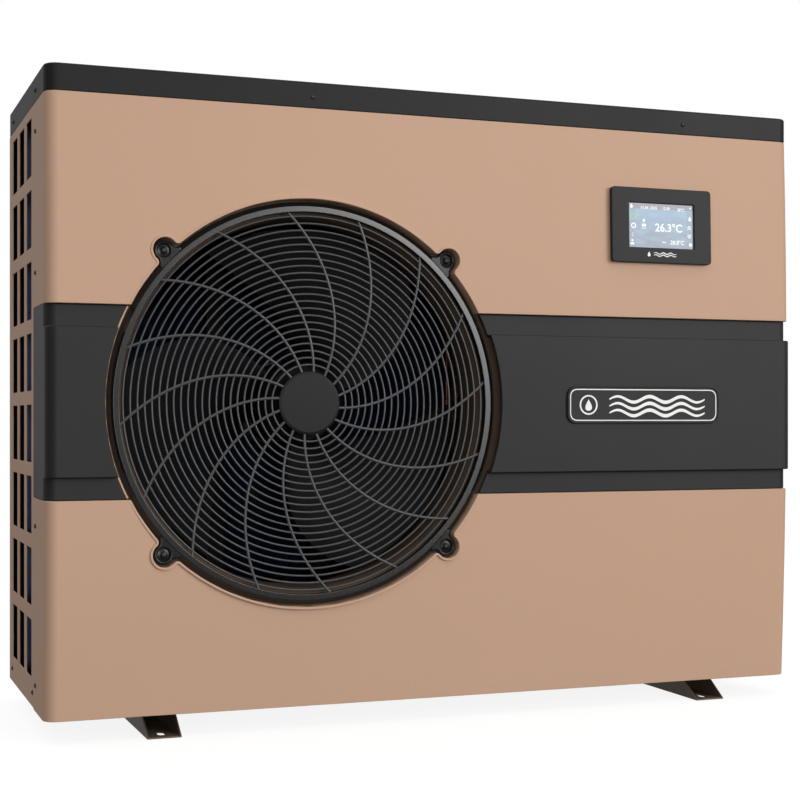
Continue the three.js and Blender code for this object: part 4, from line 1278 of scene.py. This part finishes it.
display_glow = screen_finish()
sign_white = glow("sign_white", linear(244, 248, 250), 0.95)
sign_green = glow("sign_green", linear(120, 205, 130), 0.9)
tilt_up = Vector((0, -math.sin(FACE_TILT), math.cos(FACE_TILT)))
out_of_screen = Vector((0, -math.cos(FACE_TILT), -math.sin(FACE_TILT)))
screen_face = bezel_back + out_of_screen * 0.0036


def on_screen(x, z, lift=0.00005):
    """A place on the tilted display, from its middle."""
    return screen_face + Vector((x, 0, 0)) + tilt_up * z + out_of_screen * lift


panel_outline = rectangle(SCREEN_W - PANEL_GAP, SCREEN_H - PANEL_GAP, 0.0006, 2)
panel_back = screen_face - out_of_screen * PANEL_THICK
panel = plate([panel_outline], PANEL_THICK, panel_back, tilt=FACE_TILT)
piece("display_panel", panel, display_glow, replaces=["display_screen"])


def sign(outline, x, z, holes=()):
    return plate([outline], SIGN_THICK, on_screen(x, z), holes=holes, tilt=FACE_TILT)


def digits(text, height, x, z):
    return lettering(text, height, on_screen(x, z, SIGN_THICK), tilt=FACE_TILT)


def ring_sign(radius, x, z):
    return sign(circle(radius, 28), x, z, [circle(radius * 0.62, 28)])


def chevron(size, way):
    """An arrow head that points up or down."""
    a, b = size, size * 0.45 * way
    t = size * 0.25
    outline = [(-a, -b - t), (0, b - t), (a, -b - t)]
    outline += [(a, -b + t), (0, b + t), (-a, -b + t)]
    return [Vector(p) for p in outline]


white_signs = [
    digits("26.3°C", 0.0118, 0.0128, -0.003),
    digits("28.8°C", 0.006, 0.027, -0.024),
    digits("01.06", 0.0042, -0.0275, 0.0262),
    digits("2025", 0.0042, -0.0125, 0.0262),
    digits("12:30", 0.0042, 0.0085, 0.0262),
    digits("28°C", 0.0042, 0.0335, 0.0252),
    sign(rectangle(0.0068, 0.0013), 0.0046, -0.024),
    sign(droplet(0.0036, 0, 0, 24), -0.0495, 0.0285),
    ring_sign(0.0042, -0.0462, -0.0008),
    sign(rectangle(0.0022, 0.0007), -0.0455, -0.0008),
    sign(circle(0.0009, 12), -0.0475, -0.0125),
    sign(circle(0.0009, 12), -0.0475, -0.0158),
    sign(circle(0.0017, 20), -0.0485, -0.0228),
    sign(rectangle(0.0062, 0.003, 0.0012), -0.0485, -0.0275),
    sign(circle(0.0024, 20), -0.029, 0.0073),
    sign(rectangle(0.007, 0.0042, 0.001), -0.029, 0.0003),
    sign(rectangle(0.0074, 0.001), -0.029, -0.0042),
    sign(circle(0.0013, 16), 0.0497, 0.0285),
    sign(droplet(0.0038, 0, 0, 24), 0.0488, 0.0128),
    sign(chevron(0.003, 1), 0.0476, 0.0002),
    sign(chevron(0.003, 1), 0.0476, -0.0028),
    sign(chevron(0.003, -1), 0.0476, -0.0118),
    sign(chevron(0.003, -1), 0.0476, -0.0148),
    sign(circle(0.0027, 20), 0.0495, -0.0262),
]
piece("display_signs", joined(white_signs), sign_white)
power_sign = ring_sign(0.0045, -0.048, 0.0127)
piece("display_power_sign", power_sign, sign_green)
# A small drop and two waves stand below the screen.
mark_face = bezel_back + out_of_screen * 0.0067 - tilt_up * 0.0425
mark_outlines = [droplet(0.0038, -0.0225, 0, 24)]
mark_outlines += [wave_line(0.038, 0.0011, 0.0016, 3, 0.0045, z) for z in (0.0013, -0.0019)]
marks = [plate([outline], 0.0003, mark_face, tilt=FACE_TILT) for outline in mark_outlines]
piece("bezel_mark", joined(marks), ink_white)


# ---- Right side fittings --------------------------------------------------------------------


UNION_SOCKET = 0.0253
NUT_FACE, NUT_BORE = 0.0335, 0.0294
STUB_BORE, STUB_RADIUS = 0.022, 0.0316
THREAD_PITCH = 0.0035


def union(label):
    """A water union: a ribbed nut that turns, over a socket that takes the pipe."""
    centre = middle(f"{label}_union_nut")

    def along(x, profile, ease=0.0):
        return turned(profile, Vector((x, centre.y, centre.z)), RIGHT, ease=ease)

    nut_low, nut_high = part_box(f"{label}_union_nut")
    depth = nut_high.x - nut_low.x
    profile = [(NUT_FACE, 0), (0.0385, 0), (0.0395, depth - 0.004), (0.0365, depth)]
    profile += [(NUT_BORE, depth), (NUT_BORE, depth - 0.0045), (NUT_FACE, depth - 0.0045)]
    nut = [along(nut_low.x, profile, 0.0012)]
    grip_start = Vector((nut_low.x + 0.001, centre.y, centre.z))
    for k in range(24):
        size = 0.0022 if k % 3 else 0.0034
        grip = plate([circle(size, 10, 0.0382)], depth - 0.006, ORIGIN, UP, ease=0.0006)
        nut.append(set_in(grip, grip_start, RIGHT, TAU * k / 24))
    node = f"{label}_union_nut"
    name = f"{label}_nut_ribbed"
    piece(name, joined(nut), black_plastic, f"{label}_nut", [node])

    tail_low, tail_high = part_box(f"{label}_union_tail")
    length = tail_high.x - tail_low.x
    profile = [(STUB_BORE, 0), (0.0328, 0), (0.0328, 0.005), (0.0287, 0.005)]
    profile += [(0.0287, length), (UNION_SOCKET, length), (0.02515, 0.005), (STUB_BORE, 0.005)]
    tail = along(tail_low.x, profile, 0.0006)
    node = f"{label}_union_tail"
    piece(f"{label}_tail_turned", tail, grey_plastic, replaces=[node])

    stub_low, stub_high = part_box(f"water_{label}_stub")
    length = stub_high.x - stub_low.x
    profile = [(STUB_BORE, 0), (STUB_RADIUS, 0), (STUB_RADIUS, length), (STUB_BORE, length)]
    stub = [along(stub_low.x, profile, 0.0008)]
    thread = [(0.0312, -0.0012), (0.033, 0), (0.0312, 0.0012)]
    stub += [along(stub_high.x - 0.004 - THREAD_PITCH * k, thread) for k in range(6)]
    node = f"water_{label}_stub"
    name = f"{label}_stub_threaded"
    piece(name, joined(stub), black_plastic, replaces=[node])

    profile = [(0.0346, 0), (0.046, 0), (0.046, 0.0016), (0.0372, 0.0042), (0.0346, 0.0042)]
    collar = along(case_high.x + 0.0002, profile, 0.0008)
    piece(f"{label}_wall_collar", collar, rubber)


union("inlet")
union("outlet")

gauge_low, gauge_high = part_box("pressure_gauge")
gauge_centre = middle("pressure_gauge")
GAUGE_R = (gauge_high.y - gauge_low.y) / 2
# The dial reads clockwise from the lower left.
SWEEP_START, SWEEP = 1.25 * math.pi, 1.5 * math.pi
DIAL_STEPS, DIAL_NUMBER_EVERY = 30, 5


def on_gauge(out):
    """The gauge's axis, this far out from the casing's side."""
    return Vector((case_high.x + out, gauge_centre.y, gauge_centre.z))


profile = [(0, -0.012), (0.005, -0.012), (0.005, 0.0003), (GAUGE_R - 0.002, 0.0003)]
profile += [(GAUGE_R, 0.004), (GAUGE_R, 0.014), (GAUGE_R - 0.003, 0.014)]
profile += [(GAUGE_R - 0.003, 0.005), (0, 0.005)]
gauge_case = turned(profile, on_gauge(0), RIGHT, ease=0.0008)
piece("gauge_case", gauge_case, black_plastic, replaces=["pressure_gauge"])
dial = plate([circle(GAUGE_R - 0.0034, 72)], 0.0006, on_gauge(0.005), RIGHT)
piece("gauge_dial", dial, white_plastic)
dial_marks = []
for k in range(DIAL_STEPS + 1):
    turn = SWEEP_START - SWEEP * k / DIAL_STEPS
    is_long = k % DIAL_NUMBER_EVERY == 0
    size = (0.0042, 0.0007) if is_long else (0.0024, 0.0004)
    mark = plate([rectangle(*size, x=0.0245)], 0.0002, ORIGIN, UP)
    dial_marks.append(set_in(mark, on_gauge(0.0056), RIGHT, turn))
    if is_long:
        spot = on_gauge(0.0057) + RIGHT @ polar(0.0182, turn).to_3d()
        dial_marks.append(lettering(str(k // DIAL_NUMBER_EVERY), 0.0038, spot, RIGHT))
piece("gauge_scale", joined(dial_marks), black_plastic)
profile = [(0, 0), (0.0285, 0), (0.0285, 0.0015), (0.02, 0.0019), (0, 0.002)]
lens_place = Vector((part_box("gauge_lens")[0].x, gauge_centre.y, gauge_centre.z))
lens = turned(profile, lens_place, RIGHT)
piece("gauge_glass", lens, clear_lens, replaces=["gauge_lens"])


def needle():
    """A slim pointer with a counterweight and a hub, resting on the dial's zero."""
    upper = [(0.0222, 0.0004), (0.0, 0.0013), (-0.0085, 0.0017)]
    lower = [(x, -y) for x, y in reversed(upper)]
    pointer = plate([filleted(lower + upper, 0.0004, 2)], 0.0009, ORIGIN, UP, ease=0.0002)
    set_in(pointer, on_gauge(0.0074), RIGHT, SWEEP_START)
    profile = [(0, 0), (0.003, 0), (0.003, 0.0018), (0.0022, 0.0022), (0, 0.0022)]
    return joined([pointer, turned(profile, on_gauge(0.007), RIGHT, 40)])


piece("gauge_pointer", needle(), needle_red, "needle", ["gauge_needle"])

cover_low, cover_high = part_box("wiring_cover")
cover_at = middle("wiring_cover")
cover_back = Vector((cover_low.x, cover_at.y, cover_at.z))
cover_w, cover_h = cover_high.y - cover_low.y, cover_high.z - cover_low.z
cover_rise = Vector((0.0165, 0, 0))
cover_foot = rectangle(cover_w, cover_h, 0.009, 8)
cover_top = rectangle(cover_w - 0.014, cover_h - 0.014, 0.008, 8)
cover_depth = cover_high.x - cover_low.x - cover_rise.x
cover_parts = [
    plate([cover_foot], 0.018, cover_back, RIGHT, ease=0.003, ease_steps=4),
    plate([cover_top], cover_depth, cover_back + cover_rise, RIGHT, ease=0.002, ease_steps=4),
]
for k in range(9):
    rib = rectangle(cover_w - 0.04, 0.003, 0.0014, 3)
    rib_place = Vector((cover_high.x - 0.0012, cover_at.y, cover_at.z - 0.032 + 0.008 * k))
    cover_parts.append(plate([rib], 0.0012, rib_place, RIGHT, ease=0.0004))
moulded = joined(cover_parts)
piece("wiring_cover_moulded", moulded, black_plastic, CASING, ["wiring_cover"])
cover_screws = [
    (cover_back + Vector((0.0178, y, z)), TO_RIGHT)
    for y in (-cover_w / 2 + 0.0038, cover_w / 2 - 0.0038)
    for z in (-cover_h / 2 + 0.012, cover_h / 2 - 0.012)
]
screw_set("cover_screws", 0.0026, cover_screws, dark_steel)


def gland(node):
    """A cable gland: a six-sided base, a domed nut with flutes, and its thread."""
    low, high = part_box(node)
    at = middle(node)
    wall = Vector((case_high.x + 0.0003, at.y, at.z))
    inner, outer = low.x - wall.x, high.x - wall.x
    bore = 0.0066
    base = [circle(0.0142, 6)]
    dome = [(bore, 0.007), (0.0122, 0.007), (0.0122, 0.018), (0.0092, outer), (bore, outer)]
    thread = [(bore, inner), (0.0098, inner), (0.0098, 0.001), (bore, 0.001)]
    parts = [
        plate(base, 0.0075, wall, RIGHT, ease=0.0007, holes=[circle(bore, 32)]),
        turned(dome, wall, RIGHT, 48, ease=0.001),
        turned(thread, wall, RIGHT, 40),
    ]
    for k in range(12):
        flute = plate([circle(0.0012, 8, 0.0122)], 0.0095, (0, 0, 0.008), UP, ease=0.0003)
        parts.append(set_in(flute, wall, RIGHT, TAU * k / 12))
    piece(f"{node}_turned", joined(parts), black_plastic, CASING, [node])


gland("power_cable_gland")
gland("signal_cable_gland")


# ---- Finishes of the frame's own nodes ------------------------------------------------------

slot_finish = {
    "copper_paint": copper_paint,
    "dark_plastic": band_plastic,
    "black_plastic": black_plastic,
    "dark_paint": lid_paint,
    "brown_paint": brown_paint,
    "zinc_steel": zinc_steel,
    "black_enamel": black_enamel,
    "coil_fins": coil_fins,
    "copper_pipe": copper_pipe,
    "brass": brass,
    "grey_plastic": grey_plastic,
    "white_plastic": white_plastic,
    "rubber": rubber,
    "circuit_board": circuit_board,
    "screen": display_glow,
    "clear_glass": clear_lens,
}
for entry in frame["record"]["subparts"]:
    for material_slot in nodes[entry["node"]].material_slots:
        material_slot.material = slot_finish[entry["material_slot"]]


# ---- Stage ----------------------------------------------------------------------------------


def floor():
    """A wide pale disc that takes only a faint shadow."""
    shape = bmesh.new()
    bmesh.ops.create_circle(shape, cap_ends=True, segments=96, radius=14.0)
    mesh = written(shape)
    made = Finish("floor_pale")
    patch = made.noise(1.5, 3.0)
    made.feed("Base Color", made.mix(patch, (0.14, 0.14, 0.14), (0.16, 0.16, 0.16)))
    made.feed("Roughness", made.ramp(patch, 0.3, 0.7, 0.75, 0.85))
    made.set(Emission_Color=(1, 1, 1, 1), Emission_Strength=0.88, Specular_IOR_Level=0.1)
    mesh.materials.append(made.material)
    obj = linked("floor", mesh)
    obj.location.z = -0.0005
    obj.visible_diffuse = False
    obj.visible_glossy = False


def soft_light(name, place, target, size, power):
    """A rectangular area light that looks at a target."""
    light = bpy.data.lights.new(name, "AREA")
    light.shape = "RECTANGLE"
    light.size, light.size_y = size
    light.energy = power
    obj = linked(name, light)
    obj.location = place
    obj.rotation_euler = (Vector(target) - Vector(place)).to_track_quat("-Z", "Y").to_euler()


def studio_world():
    """A pale surround, brightest behind the unit."""
    world = bpy.data.worlds.new("studio")
    world.use_nodes = True
    world.node_tree.nodes.clear()
    net = Net(world.node_tree)
    where = net.add("ShaderNodeTexCoord")
    split = net.add("ShaderNodeSeparateXYZ", {}, {"Vector": where.outputs["Generated"]})

    def rising(axis, low, high, to_high):
        sockets = {"Value": split.outputs[axis], "From Min": low, "From Max": high}
        sockets["To Max"] = to_high
        return net.signal("ShaderNodeMapRange", {"interpolation_type": "SMOOTHSTEP"}, sockets)

    overhead = rising("Z", 0.5, 0.8, 0.85)
    behind = rising("Y", 0.2, 0.7, 0.25)
    above = rising("Z", -0.03, 0.01, 0.16)
    lighting = overhead + behind + above + 0.12
    seen = net.add("ShaderNodeLightPath").outputs["Is Camera Ray"]
    sockets = {0: seen, 2: lighting, 3: 1.0}
    strength = net.signal("ShaderNodeMix", {"data_type": "FLOAT"}, sockets)
    background = net.add("ShaderNodeBackground", {}, {"Color": (1, 1, 1, 1), "Strength": strength})
    net.add("ShaderNodeOutputWorld", {}, {"Surface": background})
    bpy.context.scene.world = world


def camera():
    """The view from the left front, level and at half the unit's height."""
    data = bpy.data.cameras.new("camera")
    data.lens = 71.14
    data.sensor_width = 36
    data.shift_y = 0.02536
    obj = linked("camera", data)
    obj.location = (-0.8804, -2.25385, 0.4221)
    obj.rotation_euler = (math.pi / 2, 0, math.radians(-20.485))
    bpy.context.scene.camera = obj


floor()
studio_world()
soft_light("key", (5.6, -8.0, 2.8), (0.0, 0, 0.4), (6.8, 4.4), 640)
soft_light("fill", (-1.5, -5.0, 0.5), (-0.2, 0, 0.4), (1.6, 1.4), 68)
camera()
view = bpy.context.scene.view_settings
view.view_transform = "Standard"
view.look = "None"
